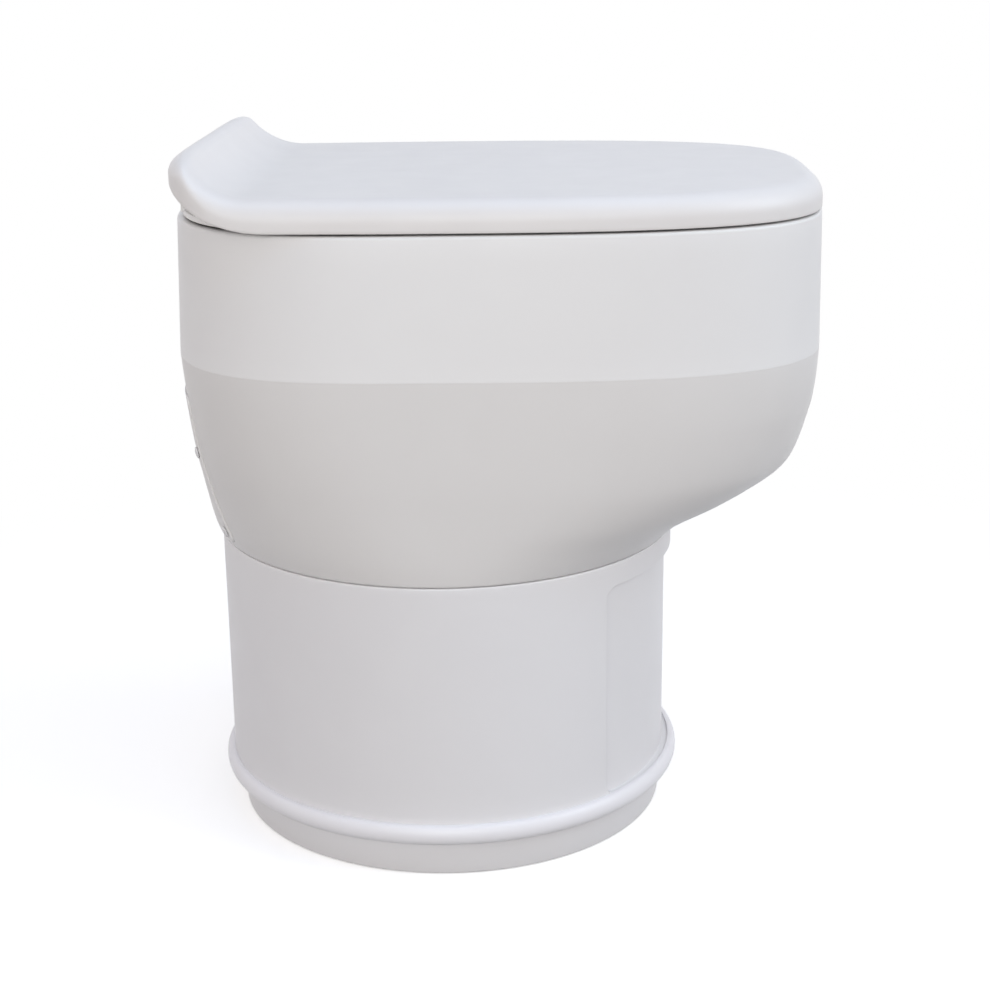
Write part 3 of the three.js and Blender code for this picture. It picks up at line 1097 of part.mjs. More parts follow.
const lid = new THREE.Group();
deck.add(lid);
add('lid', join(lidShell(), lidEar(-1), lidEar(1)), MATERIALS.lid, lid);
BUMPER_PLACE_SHARES.flatMap(([x, y]) => [[-x, y], [x, y]]).forEach(([x, y], k) => {
  add(`lid_bumper_${k + 1}`, rod(BUMPER_RADIUS, SEAT_TOP + TOUCH, LID_CEILING - TOUCH)
    .translate(x * BODY.side, y * BODY.front, 0),
    MATERIALS.rubber, lid);
});

// The origin is on the floor under the middle of the whole product
product.updateMatrixWorld(true);
const bounds = new THREE.Box3().setFromObject(product, true);
product.position.y = -(bounds.min.y + bounds.max.y) / 2;

export default product;
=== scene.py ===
"""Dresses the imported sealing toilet: smooth shells, fittings and film over its fixed frame.

Everything is in metres, +Z up, the front towards -Y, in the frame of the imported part.
"""

import math
from collections import namedtuple

import bmesh
import bpy
from bpy.props import FloatProperty, FloatVectorProperty, PointerProperty
from mathutils import Matrix, Vector


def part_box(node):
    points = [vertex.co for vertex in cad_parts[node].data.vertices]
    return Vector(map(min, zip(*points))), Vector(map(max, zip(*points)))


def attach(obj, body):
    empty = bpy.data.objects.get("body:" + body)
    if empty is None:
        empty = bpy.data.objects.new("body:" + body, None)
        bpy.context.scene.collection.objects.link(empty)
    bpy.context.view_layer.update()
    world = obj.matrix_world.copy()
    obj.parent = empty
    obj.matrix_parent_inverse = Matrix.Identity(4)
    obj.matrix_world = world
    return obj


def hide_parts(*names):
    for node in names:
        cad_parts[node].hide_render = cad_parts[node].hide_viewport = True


bl_info = {
    "name": "Sealing toilet",
    "version": (1, 0, 0),
    "blender": (4, 5, 0),
    "location": "View3D > Sidebar > Toilet",
    "description": "Builds the shells, seat, lid, film and fittings of a sealing toilet",
    "category": "Object",
}

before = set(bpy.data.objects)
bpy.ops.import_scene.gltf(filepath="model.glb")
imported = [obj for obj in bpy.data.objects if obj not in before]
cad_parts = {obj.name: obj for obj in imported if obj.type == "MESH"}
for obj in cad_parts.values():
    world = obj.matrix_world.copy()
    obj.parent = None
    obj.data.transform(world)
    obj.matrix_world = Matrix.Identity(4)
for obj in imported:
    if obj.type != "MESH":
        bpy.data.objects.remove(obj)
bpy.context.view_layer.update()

MM = 0.001
FULL_TURN = 2 * math.pi
LOW, HIGH = 0, 1

# The pedestal's upright axis, which the bowl, film and bucket share
AXIS_Y = (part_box("rubber_foot_ring")[LOW].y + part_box("rubber_foot_ring")[HIGH].y) / 2
BAND_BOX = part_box("upper_band")
LID_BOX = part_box("lid")

# Levels
RIM_TOP = BAND_BOX[HIGH].z
BAND_BOTTOM = 382.5 * MM
BOWL_BOTTOM = 230.6 * MM
PEDESTAL_TOP = 230 * MM
LID_TOP = 507.4 * MM
SEAT_TOP = 497 * MM
CREST = LID_BOX[HIGH].z

# Walls and joints
WALL = 4 * MM
LID_WALL = 3.5 * MM
TOUCH = 0.3 * MM  # gap where two mouldings rest on each other
EDGE = 1.2 * MM  # the small radius on every moulded edge
MERGE = 0.002 * MM  # points nearer than this are one point

# Upper body outline at the rim, and how much wider it is where it meets the bowl
Outline = namedtuple("Outline", "side rear front centre rear_power front_power")
CENTRE_Y = 19 * MM
BODY = Outline(184.3 * MM, 174.4 * MM, 302.2 * MM, CENTRE_Y, 2.9, 3.4)
BAND_FOOT = Outline(
    BAND_BOX[HIGH].x,
    BAND_BOX[HIGH].y - AXIS_Y - CENTRE_Y,
    AXIS_Y + CENTRE_Y - BAND_BOX[LOW].y,
    CENTRE_Y,
    2.9,
    3.4,
)
PEDESTAL_RADIUS = 178.3 * MM
HOLE = Outline(102 * MM, 100 * MM, 146 * MM, -12 * MM, 2.2, 2.2)

# How far in the bowl has come at each share of the way down
FRONT_SHARES = (
    (0, 0), (0.1, 0.006), (0.25, 0.025), (0.35, 0.055), (0.45, 0.09), (0.56, 0.145),
    (0.61, 0.2), (0.66, 0.29), (0.72, 0.415), (0.77, 0.535), (0.83, 0.71),
    (0.88, 0.83), (0.93, 0.91), (1, 1),
)
REAR_SHARES = (
    (0, 0), (0.11, 0.06), (0.32, 0.19), (0.53, 0.35), (0.64, 0.48), (0.75, 0.6),
    (0.91, 0.8), (1, 1),
)
ROUNDING_POWER = 1.5  # how soon the bowl's outline turns round

# Mesh fineness
AROUND = 256
TURNED_STEPS = 192
SMALL_STEPS = 48
SMOOTH_ANGLE = math.radians(32)

# Tail of the lid
TAIL_INSET = 8.5 * MM
TAIL_START_SHARE = 0.09
TAIL_SPREAD_SHARE = 0.4
TAIL_POWER = 6.8
UNDERSIDE_RADIUS = 96 * MM
FILLET_HEIGHT_SHARE = 0.68  # at most this much of the lid's height
HOLLOW_CORNER_SHARE = 0.63  # the lid's inner corner, of its upper edge's radius
LID_HOLLOW_INSETS = (160, 140, 120, 100, 80, 62, 50, 42, 36, 30, 25, 21, 18)
LID_TOP_INSETS = (112, 126, 142, 158)

# Back panel
COVER_HALF = 95 * MM
COVER_LOW = 237 * MM
COVER_HIGH = 352 * MM
COVER_PROUD = 1.2 * MM  # how far the panel stands out of the bowl's skin
COVER_WALL = 3 * MM
SCREW_MARGIN = 8 * MM
SCREW_X = COVER_HALF - SCREW_MARGIN
SCREW_LOW = COVER_LOW + SCREW_MARGIN
SCREW_SPAN = 62 * MM
FAN_X, FAN_Z = -58 * MM, 330 * MM
INLET_X, INLET_Z = 58 * MM, 262 * MM

# Hinge
HINGE_Y = 178 * MM
HINGE_Z = 498 * MM
HINGE_X = 72 * MM
EAR_RADIUS = 6 * MM


# Plain helpers


def paint(colour):
    """An sRGB hex colour as linear red, green, blue and alpha."""
    linear = []
    for place in (1, 3, 5):
        value = int(colour[place : place + 2], 16) / 255
        linear.append(
            value / 12.92 if value <= 0.04045 else ((value + 0.055) / 1.055) ** 2.4
        )
    return (*linear, 1.0)


def mix(a, b, share):
    """The value a share of the way from a to b."""
    return a + (b - a) * share


def smooth(share):
    """A share that leaves 0 and meets 1 gently."""
    held = min(1.0, max(0.0, share))
    return held * held * (3 - 2 * held)


def spread(first, last, count):
    """Evenly spaced numbers from first to last, both included."""
    return [mix(first, last, k / (count - 1)) for k in range(count)]


def rounded(first, last, count):
    """Places on a quarter round, as shares of its radius in from its side and its top."""
    for angle in spread(first, last, count):
        turn = math.radians(angle)
        yield 1 - math.cos(turn), 1 - math.sin(turn)


def flowing(table):
    """A smooth curve through a table of places and values that never turns back."""
    places = [row[0] for row in table]
    values = [row[1] for row in table]
    gaps = [b - a for a, b in zip(places, places[1:])]
    slopes = [(b - a) / gap for a, b, gap in zip(values, values[1:], gaps)]
    tangents = [slopes[0]]
    for before, after in zip(slopes, slopes[1:]):
        level = before * after <= 0
        tangents.append(0.0 if level else 2 * before * after / (before + after))
    tangents.append(slopes[-1])

    def curve(place):
        k = max(j for j in range(len(gaps)) if j == 0 or places[j] <= place)
        t = (place - places[k]) / gaps[k]
        rise = t * t * (3 - 2 * t)
        lead = t * (1 - t) ** 2 * tangents[k] * gaps[k]
        trail = t * t * (t - 1) * tangents[k + 1] * gaps[k]
        return mix(values[k], values[k + 1], rise) + lead + trail

    return curve


def in_mm(*pairs):
    """A table of places in millimetres, as places in metres."""
    return [(first * MM, second * MM) for first, second in pairs]


def eased(profile, radius, steps=4):
    """A closed profile with each corner rounded, by less where its sides are short."""
    points = []
    count = len(profile)
    for k in range(count):
        before, corner, after = (
            Vector(profile[(k + j) % count]) for j in (-1, 0, 1)
        )
        if corner.x <= MERGE:
            points.append(tuple(corner))
            continue
        reach = min(
            radius, (before - corner).length * 0.45, (after - corner).length * 0.45
        )
        start = corner + (before - corner).normalized() * reach
        end = corner + (after - corner).normalized() * reach
        for t in spread(0, 1, steps):
            near = start.lerp(corner, t).lerp(corner.lerp(end, t), t)
            points.append(tuple(near))
    return points


# Outlines


def outline_point(outline, angle, inset=0.0):
    """A point of an outline at an angle, pulled in by inset."""
    across, along = math.cos(angle), math.sin(angle)
    behind = along > 0
    power = outline.rear_power if behind else outline.front_power
    reach = outline.rear if behind else outline.front
    x = (outline.side - inset) * math.copysign(abs(across) ** (2 / power), across)
    y = (reach - inset) * math.copysign(abs(along) ** (2 / power), along)
    return x, outline.centre + y


def even_angles(outline, count):
    """Angles at which an outline's points lie evenly along it."""
    fine = count * 40
    angles = [FULL_TURN * k / fine for k in range(fine + 1)]
    points = [Vector(outline_point(outline, angle)) for angle in angles]
    lengths = [0.0]
    for a, b in zip(points, points[1:]):
        lengths.append(lengths[-1] + (b - a).length)
    chosen, k = [], 0
    for n in range(count):
        target = lengths[-1] * n / count
        while lengths[k + 1] <= target:
            k += 1
        share = (target - lengths[k]) / (lengths[k + 1] - lengths[k])
        chosen.append(mix(angles[k], angles[k + 1], share))
    return chosen


BODY_ANGLES = even_angles(BODY, AROUND)


def ring(outline, inset, height, angles=BODY_ANGLES):
    """One ring of points around the body at a height."""
    points = []
    for angle in angles:
        x, y = outline_point(outline, angle, inset)
        points.append(Vector((x, y + AXIS_Y, height)))
    return points


def round_outline(radius):
    return Outline(radius, radius, radius, 0.0, 2, 2)


def round_point(radius, angle, height):
    """A point around the pedestal's axis."""
    across, along = radius * math.cos(angle), radius * math.sin(angle)
    return Vector((across, along + AXIS_Y, height))


def band_outline(height):
    """The band's outline at a height, wider towards its foot."""
    share = (RIM_TOP - height) / (RIM_TOP - BAND_BOTTOM)
    return Outline(
        mix(BODY.side, BAND_FOOT.side, share),
        mix(BODY.rear, BAND_FOOT.rear, share),
        mix(BODY.front, BAND_FOOT.front, share),
        *BODY[3:],
    )


front_curve = flowing(FRONT_SHARES)
rear_curve = flowing(REAR_SHARES)


def bowl_outline(share):
    """The bowl's outline at a share of the way down to the pedestal."""
    front, rear = front_curve(share), rear_curve(share)
    centre = mix(CENTRE_Y, 0.0, share)
    rounder = share**ROUNDING_POWER
    return Outline(
        mix(BAND_FOOT.side, PEDESTAL_RADIUS, rear),
        mix(BAND_FOOT.rear + CENTRE_Y, PEDESTAL_RADIUS, rear) - centre,
        mix(BAND_FOOT.front - CENTRE_Y, PEDESTAL_RADIUS, front) + centre,
        centre,
        mix(BODY.rear_power, 2, rounder),
        mix(BODY.front_power, 2, rounder),
    )


def bowl_level(share):
    """The height at a share of the way down the bowl."""
    return mix(BAND_BOTTOM, BOWL_BOTTOM, share)


def bowl_share(height):
    """The share of the way down the bowl at a height."""
    return (BAND_BOTTOM - height) / (BAND_BOTTOM - BOWL_BOTTOM)


def panel_back(x, height):
    """How far back the back panel's face lies at a place."""
    outline = bowl_outline(bowl_share(height))
    across = abs(x) / (outline.side + COVER_PROUD)
    reach = (1 - across**outline.rear_power) ** (1 / outline.rear_power)
    return outline.centre + (outline.rear + COVER_PROUD) * reach + AXIS_Y


def panel_facing(x, height):
    """Which way the back panel's face looks at a place."""
    step = MM / 2
    across = (panel_back(x + step, height) - panel_back(x - step, height)) / (2 * step)
    up = (panel_back(x, height + step) - panel_back(x, height - step)) / (2 * step)
    return Vector((-across, 1, -up)).normalized()


# Modelling


def clear_hands():
    """Leaves edit mode and deselects everything before the next piece."""
    if bpy.context.object and bpy.context.object.mode == "EDIT":
        bpy.ops.object.mode_set(mode="OBJECT")
    bpy.ops.object.select_all(action="DESELECT")


def hold(piece):
    """Makes one piece the only selected one."""
    clear_hands()
    piece.select_set(True)
    bpy.context.view_layer.objects.active = piece


def settle(piece, angle=SMOOTH_ANGLE, outward=True):
    """Merges doubles, turns the faces outward, and shades the piece smooth."""
    hold(piece)
    bpy.ops.object.mode_set(mode="EDIT")
    bpy.ops.mesh.select_all(action="SELECT")
    bpy.ops.mesh.remove_doubles(threshold=MERGE)
    if outward:
        bpy.ops.mesh.normals_make_consistent(inside=False)
    bpy.ops.object.mode_set(mode="OBJECT")
    bpy.ops.object.shade_smooth_by_angle(angle=angle)
    return piece


def first_ring(name, points):
    """Starts a piece from a circle whose points are set on its first ring."""
    clear_hands()
    bpy.ops.mesh.primitive_circle_add(vertices=len(points), radius=1)
    piece = bpy.context.object
    piece.name = piece.data.name = name
    bpy.ops.object.mode_set(mode="EDIT")
    mesh = bmesh.from_edit_mesh(piece.data)
    place = mesh.verts.layers.int.new("place")
    for vert, point in zip(mesh.verts, points):
        vert[place] = vert.index
        vert.co = point
    bmesh.update_edit_mesh(piece.data)
    return piece


def draw_on(piece, points):
    """Extrudes the selected ring and sets the new one on its points."""
    bpy.ops.mesh.extrude_edges_move()
    mesh = bmesh.from_edit_mesh(piece.data)
    place = mesh.verts.layers.int["place"]
    for vert in mesh.verts:
        if vert.select:
            vert.co = points[vert[place]]
    bmesh.update_edit_mesh(piece.data)


def skin(name, rings, capped=False):
    """A shell drawn from ring to ring, capped at both ends or run back into its first."""
    if capped:
        ends = []
        for end in (rings[0], rings[-1]):
            middle = sum(end, Vector()) / len(end)
            ends.append([middle] * len(end))
        rings = [ends[0], *rings, ends[1]]
    else:
        rings = [*rings, rings[0]]
    piece = first_ring(name, rings[0])
    for points in rings[1:]:
        draw_on(piece, points)
    bpy.ops.object.mode_set(mode="OBJECT")
    return settle(piece)


def turned(name, profile, steps=TURNED_STEPS, middle=(0.0, 0.0), axis="Z"):
    """A closed profile of radius and height, spun about an axis through middle."""
    along = {"X": Vector((1, 0, 0)), "Y": Vector((0, 1, 0)), "Z": Vector((0, 0, 1))}[axis]
    out = {"X": Vector((0, 0, 1)), "Y": Vector((1, 0, 0)), "Z": Vector((1, 0, 0))}[axis]
    if axis == "Z":
        centre = Vector((middle[0], middle[1] + AXIS_Y, 0))
    elif axis == "Y":
        centre = Vector((middle[0], 0, middle[1]))
    else:
        centre = Vector((0, middle[0], middle[1]))
    points = [centre + out * radius + along * height for radius, height in profile]
    piece = first_ring(name, points)
    bpy.ops.mesh.spin(steps=steps, angle=FULL_TURN, center=centre, axis=along)
    bpy.ops.object.mode_set(mode="OBJECT")
    return settle(piece)


def block(name, low, high, radius=EDGE, segments=3, upright_only=False):
    """A box between two corners with its edges rounded."""
    clear_hands()
    low, high = Vector(low), Vector(high)
    bpy.ops.mesh.primitive_cube_add(size=1, location=(low + high) / 2, scale=high - low)
    piece = bpy.context.object
    piece.name = piece.data.name = name
    bpy.ops.object.transform_apply(location=True, rotation=True, scale=True)
    bpy.ops.object.mode_set(mode="EDIT")
    bpy.ops.mesh.select_mode(type="EDGE")
    mesh = bmesh.from_edit_mesh(piece.data)
    for edge in mesh.edges:
        run = (edge.verts[0].co - edge.verts[1].co).normalized()
        edge.select_set(not upright_only or abs(run.y) > 0.9)
    bmesh.update_edit_mesh(piece.data)
    bpy.ops.mesh.bevel(offset=radius, segments=segments, affect="EDGES")
    bpy.ops.mesh.select_mode(type="VERT")
    bpy.ops.object.mode_set(mode="OBJECT")
    return settle(piece)


def work(piece, operation, tool):
    """Cuts a piece with another shape, joins it on, or keeps what both share."""
    hold(piece)
    cut = piece.modifiers.new("cut", "BOOLEAN")
    cut.operation = operation
    cut.solver = "EXACT"
    cut.object = tool
    bpy.ops.object.modifier_apply(modifier=cut.name)
    bpy.data.objects.remove(tool)
    return piece


def joined(pieces, name):
    """Several shapes of one moulding as one piece."""
    clear_hands()
    for piece in pieces:
        piece.select_set(True)
    bpy.context.view_layer.objects.active = pieces[0]
    bpy.ops.object.join()
    pieces[0].name = pieces[0].data.name = name
    return pieces[0]


def dress(piece, material, body, slot, *nodes):
    """Gives a finished piece its material and body, and hides the parts it stands for; slot
    is not used.
    """
    piece.data.materials.clear()
    piece.data.materials.append(material)
    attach(piece, body)
    if nodes:
        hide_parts(*nodes)
    return piece


# Materials


def node(material, kind, settings=None, links=None):
    """Adds one node, sets its options and inputs, and links its inputs."""
    made = material.node_tree.nodes.new(kind)
    for key, value in (settings or {}).items():
        if isinstance(key, int) or key in made.inputs:
            made.inputs[key].default_value = value
        else:
            setattr(made, key, value)
    for key, source in (links or {}).items():
        material.node_tree.links.new(source, made.inputs[key])
    return made


def blank(name):
    """A material with its Principled shader linked to the output."""
    material = bpy.data.materials.new(name)
    material.use_nodes = True
    material.node_tree.nodes.clear()
    shader = node(material, "ShaderNodeBsdfPrincipled")
    node(
        material,
        "ShaderNodeOutputMaterial",
        links={"Surface": shader.outputs["BSDF"]},
    )
    return material, shader


def per_metre(size):
    """A pattern's scale from its real size in millimetres."""
    return 1 / (size * MM)


def paler(colour, share):
    """A colour moved part of the way towards white."""
    return (*(mix(channel, 1.0, share) for channel in colour[:3]), 1.0)


def moulded(name, colour, roughness, grain=0.7, depth=0.012, ior=1.53):
    """Injection-moulded ABS or polypropylene. Its body colour drifts faintly where the melt
    flowed, its satin comes from spark-eroded grain, and its sharp edges get a painted
    highlight."""
    material, shader = blank(name)
    place = node(material, "ShaderNodeTexCoord").outputs["Object"]
    flow = node(
        material,
        "ShaderNodeTexNoise",
        {"Scale": per_metre(95), "Detail": 2.5, "Roughness": 0.55, "Distortion": 0.6},
        {"Vector": place},
    )
    share = node(
        material,
        "ShaderNodeMapRange",
        {"From Min": 0.35, "From Max": 0.65},
        {"Value": flow.outputs[0]},
    )
    tint = node(
        material,
        "ShaderNodeMix",
        {"data_type": "RGBA", 6: colour, 7: paler(colour, 0.05)},
        {0: share.outputs[0]},
    )
    # Painted highlight: sharp outer edges are painted paler, standing in for the light they
    # catch.
    bend = node(material, "ShaderNodeNewGeometry").outputs["Pointiness"]
    edge = node(
        material,
        "ShaderNodeMapRange",
        {"From Min": 0.505, "From Max": 0.56, "To Min": 0.0, "To Max": 0.3},
        {"Value": bend},
    )
    painted_edge_highlight = node(
        material,
        "ShaderNodeMix",
        {"data_type": "RGBA", 7: paler(colour, 0.35)},
        {0: edge.outputs[0], 6: tint.outputs[2]},
    )
    handled = node(
        material,
        "ShaderNodeTexNoise",
        {"Scale": per_metre(28), "Detail": 4.0, "Roughness": 0.6},
        {"Vector": place},
    )
    satin = node(
        material,
        "ShaderNodeMapRange",
        {
            "From Min": 0.3,
            "From Max": 0.7,
            "To Min": roughness - 0.04,
            "To Max": roughness + 0.05,
        },
        {"Value": handled.outputs[0]},
    )
    # The real grain is about 0.1 mm, too fine to show, so it is drawn coarser
    sparks = node(
        material,
        "ShaderNodeTexNoise",
        {"Scale": per_metre(grain), "Detail": 2.0, "Roughness": 0.5},
        {"Vector": place},
    )
    relief = node(
        material,
        "ShaderNodeBump",
        {"Strength": 0.25, "Distance": depth * MM},
        {"Height": sparks.outputs[0]},
    )
    shader.inputs["IOR"].default_value = ior
    links = material.node_tree.links
    links.new(painted_edge_highlight.outputs[2], shader.inputs["Base Color"])
    links.new(satin.outputs[0], shader.inputs["Roughness"])
    links.new(relief.outputs[0], shader.inputs["Normal"])
    return material


def film_material(name, colour, shade):
    """Blown polyethylene film: milky, with some light coming through and shining creases."""
    material, shader = blank(name)
    place = node(material, "ShaderNodeTexCoord").outputs["Object"]
    milk = node(
        material,
        "ShaderNodeTexNoise",
        {"Scale": per_metre(18), "Detail": 4.0, "Roughness": 0.6},
        {"Vector": place},
    )
    tint = node(
        material,
        "ShaderNodeMix",
        {"data_type": "RGBA", 6: paint(colour), 7: paint(shade)},
        {0: milk.outputs[0]},
    )
    creases = node(
        material,
        "ShaderNodeTexNoise",
        {"Scale": per_metre(7), "Detail": 3.0, "Distortion": 1.8},
        {"Vector": place},
    )
    relief = node(
        material,
        "ShaderNodeBump",
        {"Strength": 0.5, "Distance": 0.5 * MM},
        {"Height": creases.outputs[0]},
    )
    shader.inputs["Roughness"].default_value = 0.28
    shader.inputs["IOR"].default_value = 1.51
    shader.inputs["Transmission Weight"].default_value = 0.25
    links = material.node_tree.links
    links.new(tint.outputs[2], shader.inputs["Base Color"])
    links.new(relief.outputs[0], shader.inputs["Normal"])
    return material


def rubber_material(name):
    """Moulded EPDM rubber: near black, matt, with a fine dusty bloom."""
    material, shader = blank(name)
    place = node(material, "ShaderNodeTexCoord").outputs["Object"]
    bloom = node(
        material,
        "ShaderNodeTexNoise",
        {"Scale": per_metre(9), "Detail": 5.0},
        {"Vector": place},
    )
    tint = node(
        material,
        "ShaderNodeMix",
        {"data_type": "RGBA", 6: paint("#2f2d2c"), 7: paint("#454240")},
        {0: bloom.outputs[0]},
    )
    skin_grain = node(
        material,
        "ShaderNodeTexNoise",
        {"Scale": per_metre(0.9), "Detail": 2.0},
        {"Vector": place},
    )
    relief = node(
        material,
        "ShaderNodeBump",
        {"Strength": 0.4, "Distance": 0.05 * MM},
        {"Height": skin_grain.outputs[0]},
    )
    shader.inputs["Roughness"].default_value = 0.78
    shader.inputs["IOR"].default_value = 1.5
    links = material.node_tree.links
    links.new(tint.outputs[2], shader.inputs["Base Color"])
    links.new(relief.outputs[0], shader.inputs["Normal"])
    return material


def steel_material(name):
    """Zinc-plated steel, drawn and lightly brushed: grey metal with fine turning marks."""
    material, shader = blank(name)
    place = node(material, "ShaderNodeTexCoord").outputs["Object"]
    cloud = node(
        material,
        "ShaderNodeTexNoise",
        {"Scale": per_metre(6), "Detail": 3.0},
        {"Vector": place},
    )
    tint = node(
        material,
        "ShaderNodeMix",
        {"data_type": "RGBA", 6: paint("#b4b6b8"), 7: paint("#c6c7c8")},
        {0: cloud.outputs[0]},
    )
    brush = node(
        material,
        "ShaderNodeTexNoise",
        {"Scale": per_metre(0.8), "Detail": 2.0},
        {"Vector": place},
    )
    shine = node(
        material,
        "ShaderNodeMapRange",
        {"From Min": 0.3, "From Max": 0.7, "To Min": 0.25, "To Max": 0.42},
        {"Value": brush.outputs[0]},
    )
    shader.inputs["Metallic"].default_value = 1.0
    links = material.node_tree.links
    links.new(tint.outputs[2], shader.inputs["Base Color"])
    links.new(shine.outputs[0], shader.inputs["Roughness"])
    return material


def board_material(name):
    """Glass-epoxy circuit board under green solder mask, with lighter copper tracks below."""
    material, shader = blank(name)
    place = node(material, "ShaderNodeTexCoord").outputs["Object"]
    tracks = node(
        material,
        "ShaderNodeTexBrick",
        {
            "Color1": paint("#2c6b45"),
            "Color2": paint("#2a6541"),
            "Mortar": paint("#4f8f5a"),
            "Scale": 1.0,
            "Mortar Size": 0.35 * MM,
            "Brick Width": 9 * MM,
            "Row Height": 2.54 * MM,
        },
        {"Vector": place},
    )
    shader.inputs["Roughness"].default_value = 0.35
    shader.inputs["IOR"].default_value = 1.55
    material.node_tree.links.new(tracks.outputs["Color"], shader.inputs["Base Color"])
    return material


def felt_material(name):
    """Needled felt loaded with activated carbon: charcoal, very matt, with loose fibres."""
    material, shader = blank(name)
    place = node(material, "ShaderNodeTexCoord").outputs["Object"]
    fibres = node(
        material,
        "ShaderNodeTexNoise",
        {"Scale": per_metre(1.6), "Detail": 6.0, "Distortion": 2.5},
        {"Vector": place},
    )
    tint = node(
        material,
        "ShaderNodeMix",
        {"data_type": "RGBA", 6: paint("#26282a"), 7: paint("#4a4c4e")},
        {0: fibres.outputs[0]},
    )
    relief = node(
        material,
        "ShaderNodeBump",
        {"Strength": 0.8, "Distance": 0.4 * MM},
        {"Height": fibres.outputs[0]},
    )
    shader.inputs["Roughness"].default_value = 0.95
    shader.inputs["Sheen Weight"].default_value = 0.2
    links = material.node_tree.links
    links.new(tint.outputs[2], shader.inputs["Base Color"])
    links.new(relief.outputs[0], shader.inputs["Normal"])
    return material


def finishes():
    """Every material of the toilet, by what it is on."""
    colours = bpy.context.scene.toilet_colours
    return {
        "lid": moulded("moulded_abs_lid", tuple(colours.lid), 0.36),
        "body": moulded("moulded_abs_body", tuple(colours.band), 0.4),
        "bowl": moulded("moulded_abs_bowl", tuple(colours.bowl), 0.42),
        "base": moulded("moulded_abs_pedestal", tuple(colours.pedestal), 0.4),
        "trim": moulded("moulded_abs_trim", tuple(colours.trim), 0.34),
        "seat": moulded("moulded_abs_seat", tuple(colours.seat), 0.34),
        "inner": moulded("moulded_pp_inner", tuple(colours.inner), 0.5, 0.9),
        "bucket": moulded("moulded_pe_bucket", tuple(colours.bucket), 0.5, 0.9),
        "gear": moulded("moulded_acetal_gear", paint("#e6e1d0"), 0.4),
        "housing": moulded("moulded_nylon_housing", paint("#2b2d2f"), 0.5, 0.8, 0.02),
        "button": moulded("moulded_abs_button", tuple(colours.button), 0.34),
        "wrap": moulded("shrunk_pvc_wrap", paint("#2b5985"), 0.36),
        "film": film_material("blown_film", "#eceff0", "#dfe4e6"),
        "rubber": rubber_material("moulded_rubber"),
        "steel": steel_material("zinc_plated_steel"),
        "board": board_material("solder_masked_board"),
        "felt": felt_material("carbon_felt"),
    }


FINISHES = {}


# Settings that a user would change


def length_setting(name, description, length, least, most):
    """A length that a user would change, given in millimetres."""
    return FloatProperty(
        name=name,
        description=description,
        default=length * MM,
        min=least * MM,
        max=most * MM,
        unit="LENGTH",
    )


class ToiletSizes(bpy.types.PropertyGroup):
    """Sizes of the visible shapes."""

    seam: length_setting("Seam", "Dark gap between the rim and the lid", 1.5, 0.5, 4)
    lid_fillet: length_setting(
        "Lid fillet", "Radius along the lid's upper edge", 15.8, 6, 17
    )
    tail_nose: length_setting(
        "Tail nose", "Radius of the lid's rounded rear edge", 11.5, 7, 14
    )
    tail_slope: FloatProperty(
        name="Tail slope",
        description="Steepest slope of the lid's upswept tail",
        default=math.radians(57),
        min=math.radians(35),
        max=math.radians(62),
        subtype="ANGLE",
    )
    rim_round: length_setting(
        "Rim radius", "Radius of the body's upper rim", 2.5, 1, 5
    )
    recess_depth: length_setting(
        "Recess depth", "Depth of the pedestal's front recess at its middle", 5, 1, 9
    )


def colour_setting(name, description, colour):
    """A colour that a user would change, given in hex."""
    return FloatVectorProperty(
        name=name,
        description=description,
        default=paint(colour),
        size=4,
        min=0,
        max=1,
        subtype="COLOR",
    )


class ToiletColours(bpy.types.PropertyGroup):
    """Colours of the mouldings and of the backdrop."""

    lid: colour_setting("Lid", "Lid moulding", "#e2dfde")
    band: colour_setting("Band", "Upper band", "#e7e6e6")
    bowl: colour_setting("Bowl", "Bowl and back panel", "#e0dedd")
    pedestal: colour_setting("Pedestal", "Pedestal and foot", "#e4e3e5")
    trim: colour_setting("Trim ring", "Bead around the pedestal", "#edecf0")
    seat: colour_setting("Seat", "Seat and deck", "#e6e5e3")
    inner: colour_setting("Inside", "Funnel, cassette and chassis", "#9b9fa4")
    bucket: colour_setting("Bucket", "Bucket under the film", "#575c61")
    button: colour_setting("Button", "Start button", "#c4cad0")
    backdrop: colour_setting("Backdrop", "Seen behind the object", "#ffffff")


def sizes():
    return bpy.context.scene.toilet_sizes


# Lid


def tail_profile():
    """Heights of the lid's top and of its lower edge along the body's length."""
    nose = sizes().tail_nose
    slope = sizes().tail_slope
    end = BODY.centre + BODY.rear - TAIL_INSET
    nose_y, nose_z = end - nose, CREST - nose
    slope_y = nose_y - nose * math.sin(slope)
    slope_top = nose_z + nose * math.cos(slope)
    sweep = (slope_top - LID_TOP) / (1 - math.cos(slope))
    sweep_start = slope_y - sweep * math.sin(slope)
    lid_bottom = RIM_TOP + sizes().seam
    roll_centre = lid_bottom + UNDERSIDE_RADIUS
    reach = UNDERSIDE_RADIUS - nose
    roll_start = nose_y - math.sqrt(reach**2 - (roll_centre - nose_z) ** 2)
    roll_end = roll_start + (nose_y - roll_start) * UNDERSIDE_RADIUS / reach

    def top(y):
        if y <= sweep_start:
            return LID_TOP
        if y <= slope_y:
            return LID_TOP + sweep - math.sqrt(sweep**2 - (y - sweep_start) ** 2)
        return nose_z + math.sqrt(max(0.0, nose**2 - (min(y, nose_y) - nose_y) ** 2))

    def bottom(y):
        past = min(max(y, roll_start), roll_end) - roll_start
        return roll_centre - math.sqrt(UNDERSIDE_RADIUS**2 - past**2)

    return top, bottom


